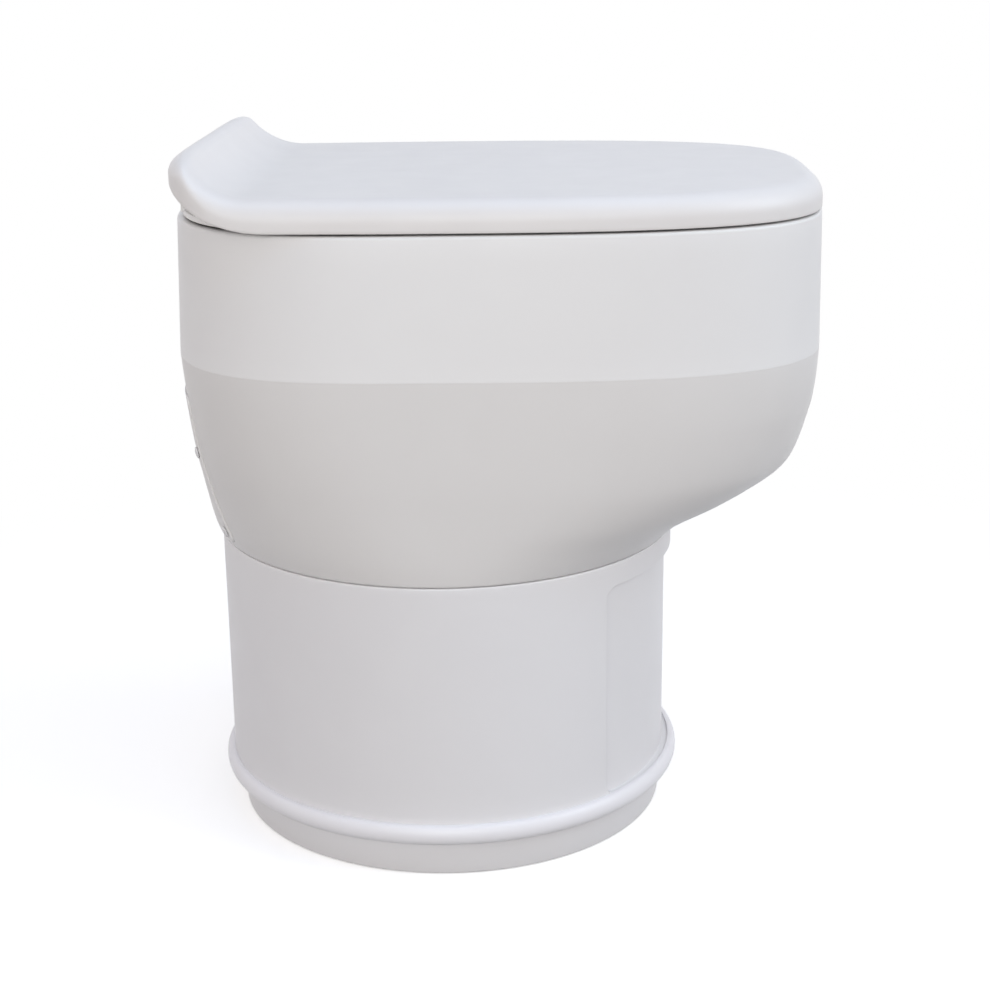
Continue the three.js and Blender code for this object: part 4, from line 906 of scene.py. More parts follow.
def lid_ring(inset, height):
    """A ring of the lid, whose corners grow squarer towards the tail."""
    points = []
    for angle in BODY_ANGLES:
        share = smooth((math.sin(angle) - TAIL_START_SHARE) / TAIL_SPREAD_SHARE)
        outline = BODY._replace(
            rear=BODY.rear - TAIL_INSET * share,
            rear_power=mix(BODY.rear_power, TAIL_POWER, share),
        )
        x, y = outline_point(outline, angle, inset)
        points.append(Vector((x, y + AXIS_Y, height(y))))
    return points


def pin_ear(name, side, offset, width, top):
    """An ear that holds a hinge pin, with its web up or down to the moulding."""
    middle = side * (HINGE_X + offset)
    ear = turned(
        name,
        eased(
            [
                (3.25 * MM, middle - width / 2),
                (EAR_RADIUS, middle - width / 2),
                (EAR_RADIUS, middle + width / 2),
                (3.25 * MM, middle + width / 2),
            ],
            0.6 * MM,
        ),
        SMALL_STEPS,
        (HINGE_Y + AXIS_Y, HINGE_Z),
        "X",
    )
    low, high = sorted((HINGE_Z, top))
    clear = 3.4 * MM if top > HINGE_Z else 0.0
    lift = 0.0 if top > HINGE_Z else -3.4 * MM
    web = block(
        name + "_web",
        (middle - width / 2, HINGE_Y + AXIS_Y - EAR_RADIUS, low + clear),
        (middle + width / 2, HINGE_Y + AXIS_Y + EAR_RADIUS, high + lift),
        0.5 * MM,
    )
    return [ear, web]


# Radius and height of a cushion under the lid, as shares of its own
BUMPER_SHARES = ((0, 0), (0.86, 0), (0.94, 0.45), (0.98, 0.75), (0.98, 1), (0, 1))


class TOILET_OT_lid(bpy.types.Operator):
    """Lid in one moulding, with its skirt, upswept tail, hollow underside and pin ears"""

    bl_idname = "toilet.lid"
    bl_label = "Lid"

    def execute(self, context):
        top, bottom = tail_profile()
        fillet = sizes().lid_fillet
        ceiling_level = LID_TOP - LID_WALL
        corner = HOLLOW_CORNER_SHARE * fillet

        def ceiling(y):
            return max(ceiling_level, bottom(y))

        def depth(y):
            return min(fillet, FILLET_HEIGHT_SHARE * (top(y) - bottom(y)))

        rings = []
        for inset in LID_HOLLOW_INSETS:
            rings.append(lid_ring(inset * MM, ceiling))
        for across, along in rounded(90, 0, 5):
            inset = LID_WALL + 0.6 * MM + corner * across
            drop = corner * along
            rings.append(
                lid_ring(inset, lambda y, d=drop: max(ceiling(y) - d, bottom(y)))
            )
        rings.append(lid_ring(LID_WALL + 0.1 * MM, lambda y: bottom(y) + 1.5 * MM))
        for angle in spread(-180, 0, 7):
            turn = math.radians(angle)
            half = LID_WALL / 2
            inset = half - half * math.cos(turn)
            sink = 0.9 * MM * (1 + math.sin(turn))
            rings.append(lid_ring(inset, lambda y, s=sink: bottom(y) + s))
        for share in (0.3, 0.6):
            rings.append(
                lid_ring(0, lambda y, s=share: mix(bottom(y), top(y) - depth(y), s))
            )
        for across, along in rounded(0, 90, 12):
            rings.append(
                lid_ring(fillet * across, lambda y, s=along: top(y) - depth(y) * s)
            )
        for inset in spread(fillet + 2 * MM, 100 * MM, 28):
            rings.append(lid_ring(inset, top))
        for inset in LID_TOP_INSETS:
            rings.append(lid_ring(inset * MM, top))
        parts = [skin("lid_shell", rings, capped=True)]
        ear_top = bottom(HINGE_Y) + 2 * MM
        for side in (-1, 1):
            parts += pin_ear("lid_ear", side, 0.0, 10 * MM, ear_top)
        lid = joined(parts, "lid_moulding")
        dress(lid, FINISHES["lid"], "lid", "lid_plastic", "lid")
        for name in sorted(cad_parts):
            if not name.startswith("lid_bumper"):
                continue
            low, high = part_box(name)
            radius = (high.x - low.x) / 2
            middle = (low + high) / 2
            profile = []
            for out, up in BUMPER_SHARES:
                profile.append((radius * out, mix(low.z, high.z, up)))
            bumper = turned(
                name.replace("lid_bumper", "lid_cushion"),
                eased(profile, 1.4 * MM),
                SMALL_STEPS,
                (middle.x, middle.y - AXIS_Y),
            )
            dress(bumper, FINISHES["rubber"], "lid", "rubber", name)
        return {"FINISHED"}


# Seat deck, its ears, pins and dampers


# Radius in millimetres of a damper's can, at each share of the way along it
DAMPER_STEPS = (
    (4, 0.08), (5, 0.12), (5, 0.4), (4.6, 0.44), (4.6, 0.5), (5, 0.54), (5, 0.88),
    (4, 0.92),
)


class TOILET_OT_seat(bpy.types.Operator):
    """Seat and deck in one moulding, with its gasket, hinge pins and dampers"""

    bl_idname = "toilet.seat"
    bl_label = "Seat and deck"

    def execute(self, context):
        deck_bottom = RIM_TOP + sizes().seam
        edge_top = deck_bottom + 4 * MM
        inset = 4.3 * MM
        back = HINGE_Y - 17.5 * MM

        def ease_down(points):
            """Lets the raised seat fall away to the flat deck in front of the hinge."""
            for point in points:
                gone = smooth((point.y - AXIS_Y - back + 15 * MM) / (15 * MM))
                point.z = min(point.z, mix(point.z, edge_top, gone))
            return points

        rings = [
            ring(BODY, inset + 0.6 * MM, deck_bottom),
            ring(BODY, inset + 0.1 * MM, deck_bottom + 0.3 * MM),
            ring(BODY, inset, deck_bottom + 0.8 * MM),
        ]
        for across, along in rounded(0, 90, 5):
            rings.append(ring(BODY, inset + EDGE * across, edge_top - EDGE * along))
        rings.append(ring(BODY, 9 * MM, edge_top))
        rings.append(ring(BODY, 13 * MM, edge_top))
        rise = SEAT_TOP - edge_top
        for share in spread(0, 1, 9):
            out = 14 * MM + 14 * MM * share
            lift = rise * math.sin(share * math.pi / 2) ** 1.2
            rings.append(ease_down(ring(BODY, out, edge_top + lift)))
        for share in (0.25, 0.5, 0.75):
            outer = ring(BODY, 28 * MM, SEAT_TOP)
            inner = ring(HOLE, -15 * MM, SEAT_TOP)
            dip = Vector((0, 0, 0.7 * MM * math.sin(share * math.pi)))
            rings.append(
                ease_down([a.lerp(b, share) - dip for a, b in zip(outer, inner)])
            )
        roll = 9 * MM
        for across, along in rounded(90, 0, 8):
            lip = ring(HOLE, -1.5 * roll * across, SEAT_TOP - roll * along)
            rings.append(ease_down(lip))
        lowest = 478.5 * MM
        rings.append(ring(HOLE, 0, lowest + 1 * MM))
        for angle in spread(0, -180, 5):
            turn = math.radians(angle)
            half = 1.2 * MM
            out = -half + half * math.cos(turn)
            rings.append(ring(HOLE, out, lowest + half + half * math.sin(turn)))
        under = SEAT_TOP - 5 * MM
        rings.append(ring(HOLE, -5 * MM, 486 * MM))
        near = ease_down(ring(HOLE, -8 * MM, under - 3 * MM))
        for point in near:
            if point.y - AXIS_Y > back - 16 * MM:
                point.z = min(point.z, 486.5 * MM)
        rings.append(near)
        far = ring(BODY, 24 * MM, under - 1 * MM)
        for point in far:
            gone = smooth((point.y - AXIS_Y - back + 18 * MM) / (15 * MM))
            point.z = mix(point.z, deck_bottom + 1.2 * MM, gone)
        rings.append(far)
        rings.append(ring(BODY, 15 * MM, deck_bottom))
        parts = [skin("deck_shell", rings)]
        for side in (-1, 1):
            for offset in (-9.3 * MM, 9.3 * MM):
                parts += pin_ear("deck_ear", side, offset, 8 * MM, deck_bottom + 2 * MM)
        seat = joined(parts, "seat_moulding")
        dress(seat, FINISHES["seat"], "deck", "seat_plastic", "seat_deck")

        gasket_low, gasket_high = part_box("deck_gasket")
        half = (gasket_high.z - gasket_low.z) / 2
        level = (gasket_high.z + gasket_low.z) / 2
        lips = []
        for angle in spread(0, 360 - 45, 8):
            turn = math.radians(angle)
            inset = 6.9 * MM + 1.7 * MM * math.cos(turn)
            lips.append(ring(BODY, inset, level + half * math.sin(turn)))
        gasket = skin("gasket_strip", lips)
        dress(gasket, FINISHES["rubber"], "base", "rubber", "deck_gasket")

        for side_name in ("left", "right"):
            node_name = f"hinge_pin_{side_name}"
            low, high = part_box(node_name)
            radius = 3 * MM
            pin = turned(
                f"pin_{side_name}",
                eased(
                    [(0, low.x), (radius, low.x), (radius, high.x), (0, high.x)],
                    0.5 * MM,
                ),
                SMALL_STEPS,
                (HINGE_Y + AXIS_Y, HINGE_Z),
                "X",
            )
            dress(pin, FINISHES["steel"], "deck", "steel", node_name)
            node_name = f"soft_close_damper_{side_name}"
            low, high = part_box(node_name)
            run = high.x - low.x
            profile = [(0, low.x), (4 * MM, low.x)]
            for out, share in DAMPER_STEPS:
                profile.append((out * MM, low.x + share * run))
            profile += [(4 * MM, high.x), (0, high.x)]
            can = turned(
                "damper_can",
                eased(profile, 0.4 * MM, 3),
                SMALL_STEPS,
                (HINGE_Y + AXIS_Y, HINGE_Z),
                "X",
            )
            cradle = block(
                "damper_cradle",
                (low.x + 0.14 * run, low.y + 0.4 * MM, low.z),
                (high.x - 0.14 * run, high.y - 0.4 * MM, HINGE_Z - 1.5 * MM),
                0.6 * MM,
            )
            damper = joined([can, cradle], f"damper_{side_name}")
            dress(damper, FINISHES["housing"], "deck", "housing_plastic", node_name)
        return {"FINISHED"}


# Upper body


class TOILET_OT_band(bpy.types.Operator):
    """Near-vertical band under the lid, with its rounded rim"""

    bl_idname = "toilet.band"
    bl_label = "Band"

    def execute(self, context):
        rim = sizes().rim_round
        under = RIM_TOP - 7 * MM
        foot = BAND_BOTTOM + 0.03 * MM
        rings = [
            ring(BAND_FOOT, 0.12 * MM, foot),
            ring(BAND_FOOT, 0, foot + 0.12 * MM),
        ]
        for share in (0.15, 0.3, 0.5, 0.7, 0.85):
            height = mix(BAND_BOTTOM, RIM_TOP - rim, share)
            rings.append(ring(band_outline(height), 0, height))
        for across, along in rounded(0, 90, 7):
            rings.append(ring(BODY, rim * across, RIM_TOP - rim * along))
        rings += [
            ring(BODY, 9.2 * MM, RIM_TOP),
            ring(BODY, 10 * MM, RIM_TOP - 0.8 * MM),
            ring(BODY, 10 * MM, under),
            ring(BODY, WALL, under - 6 * MM),
            ring(BAND_FOOT, WALL, foot),
        ]
        band = skin("band_shell", rings)
        button_low, button_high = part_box("button_bezel")
        middle = (button_low + button_high) / 2
        radius = (button_high.y - button_low.y) / 2 + 0.15 * MM
        drill = turned(
            "button_drill",
            [
                (0, middle.x - 20 * MM),
                (radius, middle.x - 20 * MM),
                (radius, middle.x + 20 * MM),
                (0, middle.x + 20 * MM),
            ],
            SMALL_STEPS * 2,
            (middle.y, middle.z),
            "X",
        )
        work(band, "DIFFERENCE", drill)
        settle(band)
        dress(band, FINISHES["body"], "base", "body_plastic", "upper_band")
        return {"FINISHED"}


def bowl_rows(inset, shares):
    """Rings of the bowl's skin, pulled in by inset."""
    return [ring(bowl_outline(share), inset, bowl_level(share)) for share in shares]


def cover_block(name, grow, radius):
    """A block that takes in the rear skin over the back panel's place."""
    return block(
        name,
        (-COVER_HALF - grow, AXIS_Y + 20 * MM, COVER_LOW - grow),
        (COVER_HALF + grow, AXIS_Y + 230 * MM, COVER_HIGH + grow),
        radius + grow,
        8,
        upright_only=True,
    )


class TOILET_OT_bowl(bpy.types.Operator):
    """Bowl that widens forward from the pedestal up to the band"""

    bl_idname = "toilet.bowl"
    bl_label = "Bowl"

    def execute(self, context):
        foot = bowl_outline(1)
        shelf = round_outline(128 * MM)
        neck = band_outline(BAND_BOTTOM + 13.5 * MM)
        neck_out = WALL + TOUCH
        shares = [0.5 * (1 - math.cos(math.pi * k / 56)) for k in range(57)]
        rings = [
            ring(shelf, 0, BOWL_BOTTOM),
            ring(foot, 2 * MM, BOWL_BOTTOM),
            ring(foot, 1.0 * MM, BOWL_BOTTOM + 0.05 * MM),
            ring(foot, 0.35 * MM, BOWL_BOTTOM + 0.35 * MM),
        ]
        rings += [
            points
            for points in reversed(bowl_rows(0, shares))
            if points[0].z > BOWL_BOTTOM + 0.9 * MM
            and points[0].z < BAND_BOTTOM - 0.2 * MM
        ]
        rings += [
            ring(bowl_outline(0), 0, BAND_BOTTOM - 0.12 * MM),
            ring(bowl_outline(0), 0.12 * MM, BAND_BOTTOM),
            ring(neck, neck_out, BAND_BOTTOM),
            ring(neck, neck_out, BAND_BOTTOM + 13.5 * MM),
            ring(neck, neck_out + WALL, BAND_BOTTOM + 13.5 * MM),
            ring(neck, neck_out + WALL, BAND_BOTTOM),
        ]
        rings += bowl_rows(WALL, shares[4:-1:4])
        rings += [
            ring(foot, WALL, BOWL_BOTTOM + 4 * MM),
            ring(shelf, 0, BOWL_BOTTOM + 4 * MM),
        ]
        bowl = skin("bowl_shell_fair", rings)
        work(bowl, "DIFFERENCE", cover_block("window", 0.25 * MM, 7 * MM))
        ledge = skin(
            "cover_ledge",
            bowl_rows(COVER_WALL - COVER_PROUD + TOUCH, shares[:-1])
            + bowl_rows(COVER_WALL - COVER_PROUD + 2.8 * MM, shares[-2::-1]),
        )
        work(ledge, "INTERSECT", cover_block("ledge_out", 5 * MM, 7 * MM))
        work(ledge, "DIFFERENCE", cover_block("ledge_in", -12 * MM, 18 * MM))
        settle(ledge)
        settle(bowl)
        bowl = joined([bowl, ledge], "bowl_moulding")
        dress(bowl, FINISHES["bowl"], "base", "bowl_plastic", "bowl_shell")
        return {"FINISHED"}


SCREW_PROFILE = in_mm(
    (0, -7), (1, -6.6), (1.9, -5.4), (1.9, 0.25), (4.2, 0.25), (4.5, 0.5), (4.5, 0.8),
    (4.2, 1.2), (3.4, 1.6), (2.2, 1.85), (0, 1.9),
)


class TOILET_OT_back_panel(bpy.types.Operator):
    """Back panel with its vent slots, screws and power socket"""

    bl_idname = "toilet.back_panel"
    bl_label = "Back panel"

    def execute(self, context):
        shares = [k / 60 for k in range(60)]
        panel = skin(
            "back_panel",
            bowl_rows(-COVER_PROUD, shares)
            + bowl_rows(COVER_WALL - COVER_PROUD, shares[::-1]),
        )
        work(panel, "INTERSECT", cover_block("panel_edge", -0.2 * MM, 7 * MM))
        for k in range(5):
            level = FAN_Z + (k - 2) * 7.5 * MM
            slot = block(
                "slot",
                (FAN_X - 22 * MM, AXIS_Y + 90 * MM, level - 1.5 * MM),
                (FAN_X + 22 * MM, AXIS_Y + 230 * MM, level + 1.5 * MM),
                1.45 * MM,
                5,
                upright_only=True,
            )
            work(panel, "DIFFERENCE", slot)
        socket_hole = block(
            "socket_hole",
            (INLET_X - 9.3 * MM, AXIS_Y + 60 * MM, INLET_Z - 5.3 * MM),
            (INLET_X + 9.3 * MM, AXIS_Y + 230 * MM, INLET_Z + 5.3 * MM),
            1.5 * MM,
            5,
            upright_only=True,
        )
        work(panel, "DIFFERENCE", socket_hole)
        settle(panel)
        dress(panel, FINISHES["bowl"], "base", "bowl_plastic", "rear_cover")

        places = []
        for height in (SCREW_LOW, SCREW_LOW + SCREW_SPAN):
            places += [(-SCREW_X, height), (SCREW_X, height)]
        for k, (x, height) in enumerate(places, 1):
            screw = turned(
                f"panel_screw_{k}",
                SCREW_PROFILE,
                SMALL_STEPS,
                (0.0, -AXIS_Y),
            )
            for x_arm, y_arm in ((2.2 * MM, 0.45 * MM), (0.45 * MM, 2.2 * MM)):
                slot = block(
                    "driver_slot",
                    (-x_arm, -y_arm, 0.7 * MM),
                    (x_arm, y_arm, 5 * MM),
                    0.12 * MM,
                    2,
                )
                work(screw, "DIFFERENCE", slot)
            facing = panel_facing(x, height)
            seat = Vector((x, panel_back(x, height), height))
            turn = Vector((0, 0, 1)).rotation_difference(facing).to_matrix().to_4x4()
            screw.data.transform(Matrix.Translation(seat) @ turn)
            settle(screw)
            dress(screw, FINISHES["base"], "base", "base_plastic", f"cover_screw_{k}")

        low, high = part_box("power_inlet")
        face = high.y
        shell = block(
            "socket_shell",
            (low.x, low.y, low.z),
            (high.x, face - 5.5 * MM, high.z),
            0.8 * MM,
        )
        nose = block(
            "socket_nose",
            (INLET_X - 9 * MM, low.y + 2 * MM, INLET_Z - 5 * MM),
            (INLET_X + 9 * MM, face, INLET_Z + 5 * MM),
            0.8 * MM,
        )
        work(shell, "UNION", nose)
        bore = turned(
            "bore",
            [
                (0, face - 10 * MM),
                (4 * MM, face - 10 * MM),
                (4 * MM, face - 0.6 * MM),
                (4.6 * MM, face + 0.1 * MM),
                (4.6 * MM, face + 5 * MM),
                (0, face + 5 * MM),
            ],
            SMALL_STEPS,
            (INLET_X, INLET_Z),
            "Y",
        )
        work(shell, "DIFFERENCE", bore)
        contact = turned(
            "contact",
            eased(
                [
                    (0, face - 10.2 * MM),
                    (0.9 * MM, face - 10.2 * MM),
                    (0.9 * MM, face - 2.5 * MM),
                    (0, face - 1.9 * MM),
                ],
                0.3 * MM,
            ),
            SMALL_STEPS,
            (INLET_X, INLET_Z),
            "Y",
        )
        settle(shell)
        shell.name = shell.data.name = "socket_moulding"
        dress(shell, FINISHES["housing"], "base", "housing_plastic", "power_inlet")
        contact.name = contact.data.name = "socket_contact"
        dress(contact, FINISHES["steel"], "base", "steel")
        return {"FINISHED"}


# Pedestal and foot


RECESS_HALF = 129 * MM
RECESS_LOW = 43.6 * MM
RECESS_HIGH = 212.4 * MM
RECESS_CORNER = 10 * MM
RECESS_STEP = 2.2 * MM  # how deep the recess is at its sides
RECESS_ROLL = 0.9 * MM  # how wide the recess's edge rolls in


def recess_share(x, height):
    """How far into the recess a place on the front lies, 0 outside and 1 on its floor."""
    middle, tall = (RECESS_LOW + RECESS_HIGH) / 2, (RECESS_HIGH - RECESS_LOW) / 2
    across = abs(x) - (RECESS_HALF - RECESS_CORNER)
    along = abs(height - middle) - (tall - RECESS_CORNER)
    outside = math.hypot(max(across, 0), max(along, 0))
    inside = min(max(across, along), 0)
    past = RECESS_CORNER - outside - inside
    return smooth(past / RECESS_ROLL)


class TOILET_OT_pedestal(bpy.types.Operator):
    """Round pedestal with its shallow moulded recess in front"""

    bl_idname = "toilet.pedestal"
    bl_label = "Pedestal"

    def execute(self, context):
        radius = PEDESTAL_RADIUS
        floor_half = RECESS_HALF - RECESS_STEP
        edge = math.sqrt(radius**2 - RECESS_HALF**2) - RECESS_STEP
        front = radius - sizes().recess_depth
        centre = (floor_half**2 + edge**2 - front**2) / (2 * (front - edge))
        reach = front + centre

        # Columns lie close together at the recess's upright edges
        across = [k * 0.5 * MM for k in range(-264, -232)]
        across += [k * 1.0 * MM for k in range(-116, -104)]
        middle_places = [k * 104 / 22 * MM for k in range(-22, 23)]
        across = across + middle_places + [-x for x in reversed(across)]
        angles = [math.asin(x / radius) - math.pi / 2 for x in across]
        angles += spread(angles[-1], angles[0] + FULL_TURN, 130)[1:-1]

        def pulled(angle, height, inset):
            x, y = radius * math.cos(angle), radius * math.sin(angle)
            if y < 0 and abs(x) < RECESS_HALF:
                floor = centre - math.sqrt(reach**2 - x**2)
                y = mix(y, max(y, floor), recess_share(x, height))
            place = Vector((x, y))
            place *= (place.length - inset) / place.length
            return Vector((place.x, place.y + AXIS_Y, height))

        def row(height, inset=0.0):
            return [pulled(angle, height, inset) for angle in angles]

        # Rows lie close together at its lower and upper edges
        sole = 33.3 * MM
        levels = [sole + 0.5 * MM, 35 * MM]
        levels += [k * 0.5 * MM for k in range(84, 110)]
        levels += [k * 1.0 * MM for k in range(55, 60)]
        levels += spread(62 * MM, 198 * MM, 24)
        levels += [k * 0.5 * MM for k in range(400, 428)]
        levels += [216 * MM, 220 * MM, 225 * MM, PEDESTAL_TOP - EDGE]
        rings = [row(height) for height in levels]
        for across, along in list(rounded(0, 90, 5))[1:]:
            rings.append(row(PEDESTAL_TOP - EDGE * along, EDGE * across))
        flange = 15 * MM
        rings += [
            row(PEDESTAL_TOP, flange),
            row(PEDESTAL_TOP - 3 * MM, flange),
            row(PEDESTAL_TOP - 3 * MM, 3 * MM),
        ]
        rings += [row(height, 3 * MM) for height in reversed(levels[4:-3:2])]
        rings += [
            row(sole + 3 * MM, 3 * MM),
            row(sole + 3 * MM, 10 * MM),
            row(sole, 10 * MM),
            row(sole, 0.5 * MM),
        ]
        pedestal = skin("pedestal_moulding", rings)
        dress(pedestal, FINISHES["base"], "base", "base_plastic", "pedestal_shell")
        return {"FINISHED"}


class TOILET_OT_foot(bpy.types.Operator):
    """Trim ring, tray and rubber ring under the pedestal"""

    bl_idname = "toilet.foot"
    bl_label = "Foot"

    def execute(self, context):
        low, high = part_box("trim_ring")
        inner = PEDESTAL_RADIUS + 0.12 * MM
        crown = high.x
        top = high.z - 1.2 * MM
        half = (top - low.z) / 2
        middle = (top + low.z) / 2
        profile = [(168.3 * MM, low.z), (inner - 2 * MM, low.z)]
        for angle in spread(-78, 88, 21):
            turn = math.radians(angle)
            profile.append(
                (
                    inner + (crown - inner) * math.cos(turn) ** 0.8,
                    middle + half * math.sin(turn),
                )
            )
        profile += [
            (inner, top),
            (inner, low.z + 3.5 * MM),
            (168.3 * MM, low.z + 3.5 * MM),
        ]
        bead = turned("bead_ring", profile)
        dress(bead, FINISHES["trim"], "base", "base_plastic", "trim_ring")

        shoulder = low.z - TOUCH
        tray_profile = [
            *in_mm((0, 0.6), (145.7, 0.6), (145.7, 6.3), (160.3, 6.3)),
            *in_mm((160.3, 0.6), (170.4, 0.6)),
            (172.4 * MM, shoulder),
            (168 * MM, shoulder),
            *in_mm((168, 44), (165, 44), (165, 9), (22, 9), (22, 18), (6.3, 18)),
            *in_mm((6.3, 6), (0, 6)),
        ]
        tray = turned("foot_tray", eased(tray_profile, 1.4 * MM))
        dress(tray, FINISHES["base"], "base", "base_plastic", "base_tray")

        ring_profile = in_mm((146, 6), (160, 6), (160, 0.9))
        for k in range(4):
            out = 159.2 * MM - k * 3.4 * MM
            ring_profile += [
                (out, 0),
                (out - 2.0 * MM, 0),
                (out - 2.5 * MM, 0.8 * MM),
                (out - 2.9 * MM, 0.8 * MM),
            ]
        ring_profile += [(146 * MM, 0.9 * MM)]
        sole = turned("grip_ring", ring_profile)
        dress(sole, FINISHES["rubber"], "base", "rubber", "rubber_foot_ring")
        return {"FINISHED"}


# Start button


class TOILET_OT_button(bpy.types.Operator):
    """Start button with its bezel, on the band's side"""

    bl_idname = "toilet.button"
    bl_label = "Start button"

    def execute(self, context):
        low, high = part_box("button_bezel")
        cap_low, cap_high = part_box("start_button")
        middle = (low + high) / 2
        outer = (high.y - low.y) / 2
        cap = (cap_high.y - cap_low.y) / 2
        face = high.x
        bezel = turned(
            "button_surround",
            [
                (cap + 0.4 * MM, low.x),
                (outer, low.x),
                (outer, face - 0.8 * MM),
                (outer - 0.25 * MM, face - 0.2 * MM),
                (outer - 0.9 * MM, face),
                (cap + 1.8 * MM, face),
                (cap + 0.8 * MM, face - 0.3 * MM),
                (cap + 0.4 * MM, face - 1.0 * MM),
            ],
            SMALL_STEPS * 2,
            (middle.y, middle.z),
            "X",
        )
        dress(bezel, FINISHES["body"], "base", "body_plastic", "button_bezel")
        dish = []
        for share in spread(1, 0, 10):
            dish.append((cap * 0.86 * share, face - 0.9 * MM + 0.6 * MM * share**2))
        button = turned(
            "button_cap",
            [
                (0, cap_low.x),
                (cap, cap_low.x),
                (cap, face - 1.0 * MM),
                (cap * 0.985, face - 0.5 * MM),
                (cap * 0.95, face - 0.15 * MM),
                (cap * 0.91, face - 0.1 * MM),
                *dish,
            ],
            SMALL_STEPS * 2,
            (middle.y, middle.z),
            "X",
        )
        dress(button, FINISHES["button"], "button", "button_plastic", "start_button")
        return {"FINISHED"}


# Inside: funnel, cassette and film


class TOILET_OT_funnel(bpy.types.Operator):
    """Splash funnel between the seat's hole and the film cassette"""

    bl_idname = "toilet.funnel"
    bl_label = "Splash funnel"

    def execute(self, context):
        low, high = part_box("splash_funnel")
        wall = 2.5 * MM
        spout = round_outline(104.5 * MM)
        seat = low.z + 12 * MM
        top = high.z

        def throat(share, inset):
            """The funnel's section part of the way up, which flares like a bell."""
            flare = 1 - math.cos(share * math.pi / 2)
            blend = smooth(share)
            return Outline(
                mix(spout.side, HOLE.side + 5 * MM, flare) - inset,
                mix(spout.rear, HOLE.rear + 5 * MM, flare) - inset,
                mix(spout.front, HOLE.front + 5 * MM, flare) - inset,
                mix(0.0, HOLE.centre, blend),
                mix(2, HOLE.rear_power, blend),
                mix(2, HOLE.front_power, blend),
            )

        rings = [
            ring(spout, 0, low.z + 0.8 * MM),
            ring(spout, 0, seat),
            ring(round_outline(140 * MM), 0, seat),
            ring(round_outline(140 * MM), 0, seat + wall),
        ]
        heights = spread(seat + wall, top - 1.2 * MM, 14)
        for k, height in enumerate(heights):
            rings.append(ring(throat(k / 13, -wall), 0, height))
        rings += [
            ring(throat(1, -wall + 0.4 * MM), 0, top - 0.3 * MM),
            ring(throat(1, -wall / 2), 0, top),
            ring(throat(1, -0.4 * MM), 0, top - 0.3 * MM),
        ]
        for k in range(13, -1, -1):
            rings.append(ring(throat(k / 13, wall * (1 - k / 13)), 0, heights[k]))
        rings += [
            ring(spout, wall, low.z + 0.8 * MM),
            ring(spout, wall - 0.7 * MM, low.z),
            ring(spout, 0.7 * MM, low.z),
        ]
        funnel = skin("splash_guard", rings)
        dress(funnel, FINISHES["inner"], "base", "inner_plastic", "splash_funnel")
        return {"FINISHED"}


class TOILET_OT_cassette(bpy.types.Operator):
    """Ring cassette with its lid and the folded film stored in it"""

    bl_idname = "toilet.cassette"
    bl_label = "Film cassette"

    def execute(self, context):
        low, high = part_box("cassette_body")
        inner, outer, wall = 108 * MM, 140 * MM, 2.5 * MM
        floor, ledge = low.z + wall, high.z - wall
        profile = [(inner, low.z), (outer, low.z), (outer, high.z), (outer - wall, high.z)]
        profile += [(outer - wall, floor), (inner + wall, floor)]
        profile += [(inner + wall, ledge), (inner, ledge)]
        tub = turned("cassette_tub", eased(profile, 1.0 * MM))
        dress(tub, FINISHES["inner"], "base", "inner_plastic", "cassette_body")
        low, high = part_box("cassette_cover")
        hole = inner + 3 * MM
        profile = [(hole, low.z), (outer, low.z), (outer, high.z), (hole, high.z)]
        cover = turned("cassette_top", eased(profile, 1.0 * MM))
        dress(cover, FINISHES["inner"], "base", "inner_plastic", "cassette_cover")
        low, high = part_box("film_pack")
        left, right = inner + wall + 0.6 * MM, outer - wall - 0.6 * MM
        folds = 13
        profile = []
        inner_top = high.z - 2.6 * MM
        for k in range(folds):
            height = mix(low.z, inner_top, k / folds)
            step = (inner_top - low.z) / folds
            profile.append((left + 0.5 * MM, height))
            profile.append((left, height + step / 2))
        profile.append((left + 1 * MM, inner_top))
        profile.append((right - 1 * MM, high.z))
        for k in range(folds):
            height = mix(high.z - 0.5 * MM, low.z, k / folds)
            step = (high.z - 0.5 * MM - low.z) / folds
            profile.append((right, height - step / 2))
            profile.append((right - 0.5 * MM, height - step))
        pack = turned("folded_film", profile)
        dress(pack, FINISHES["film"], "base", "film", "film_pack")
        return {"FINISHED"}


# Radius of the open film and of the tied bag, at each share of the way up
SLEEVE_SHARES = (
    (0, 0.085), (0.09, 0.12), (0.22, 0.3), (0.4, 0.6), (0.62, 0.86), (0.86, 1.0),
    (1, 1.0),
)
BAG_SHARES = (
    (0, 0.7), (0.08, 0.93), (0.27, 1.0), (0.47, 0.93), (0.62, 0.66), (0.7, 0.3),
    (0.78, 0.11), (1, 0.09),
)


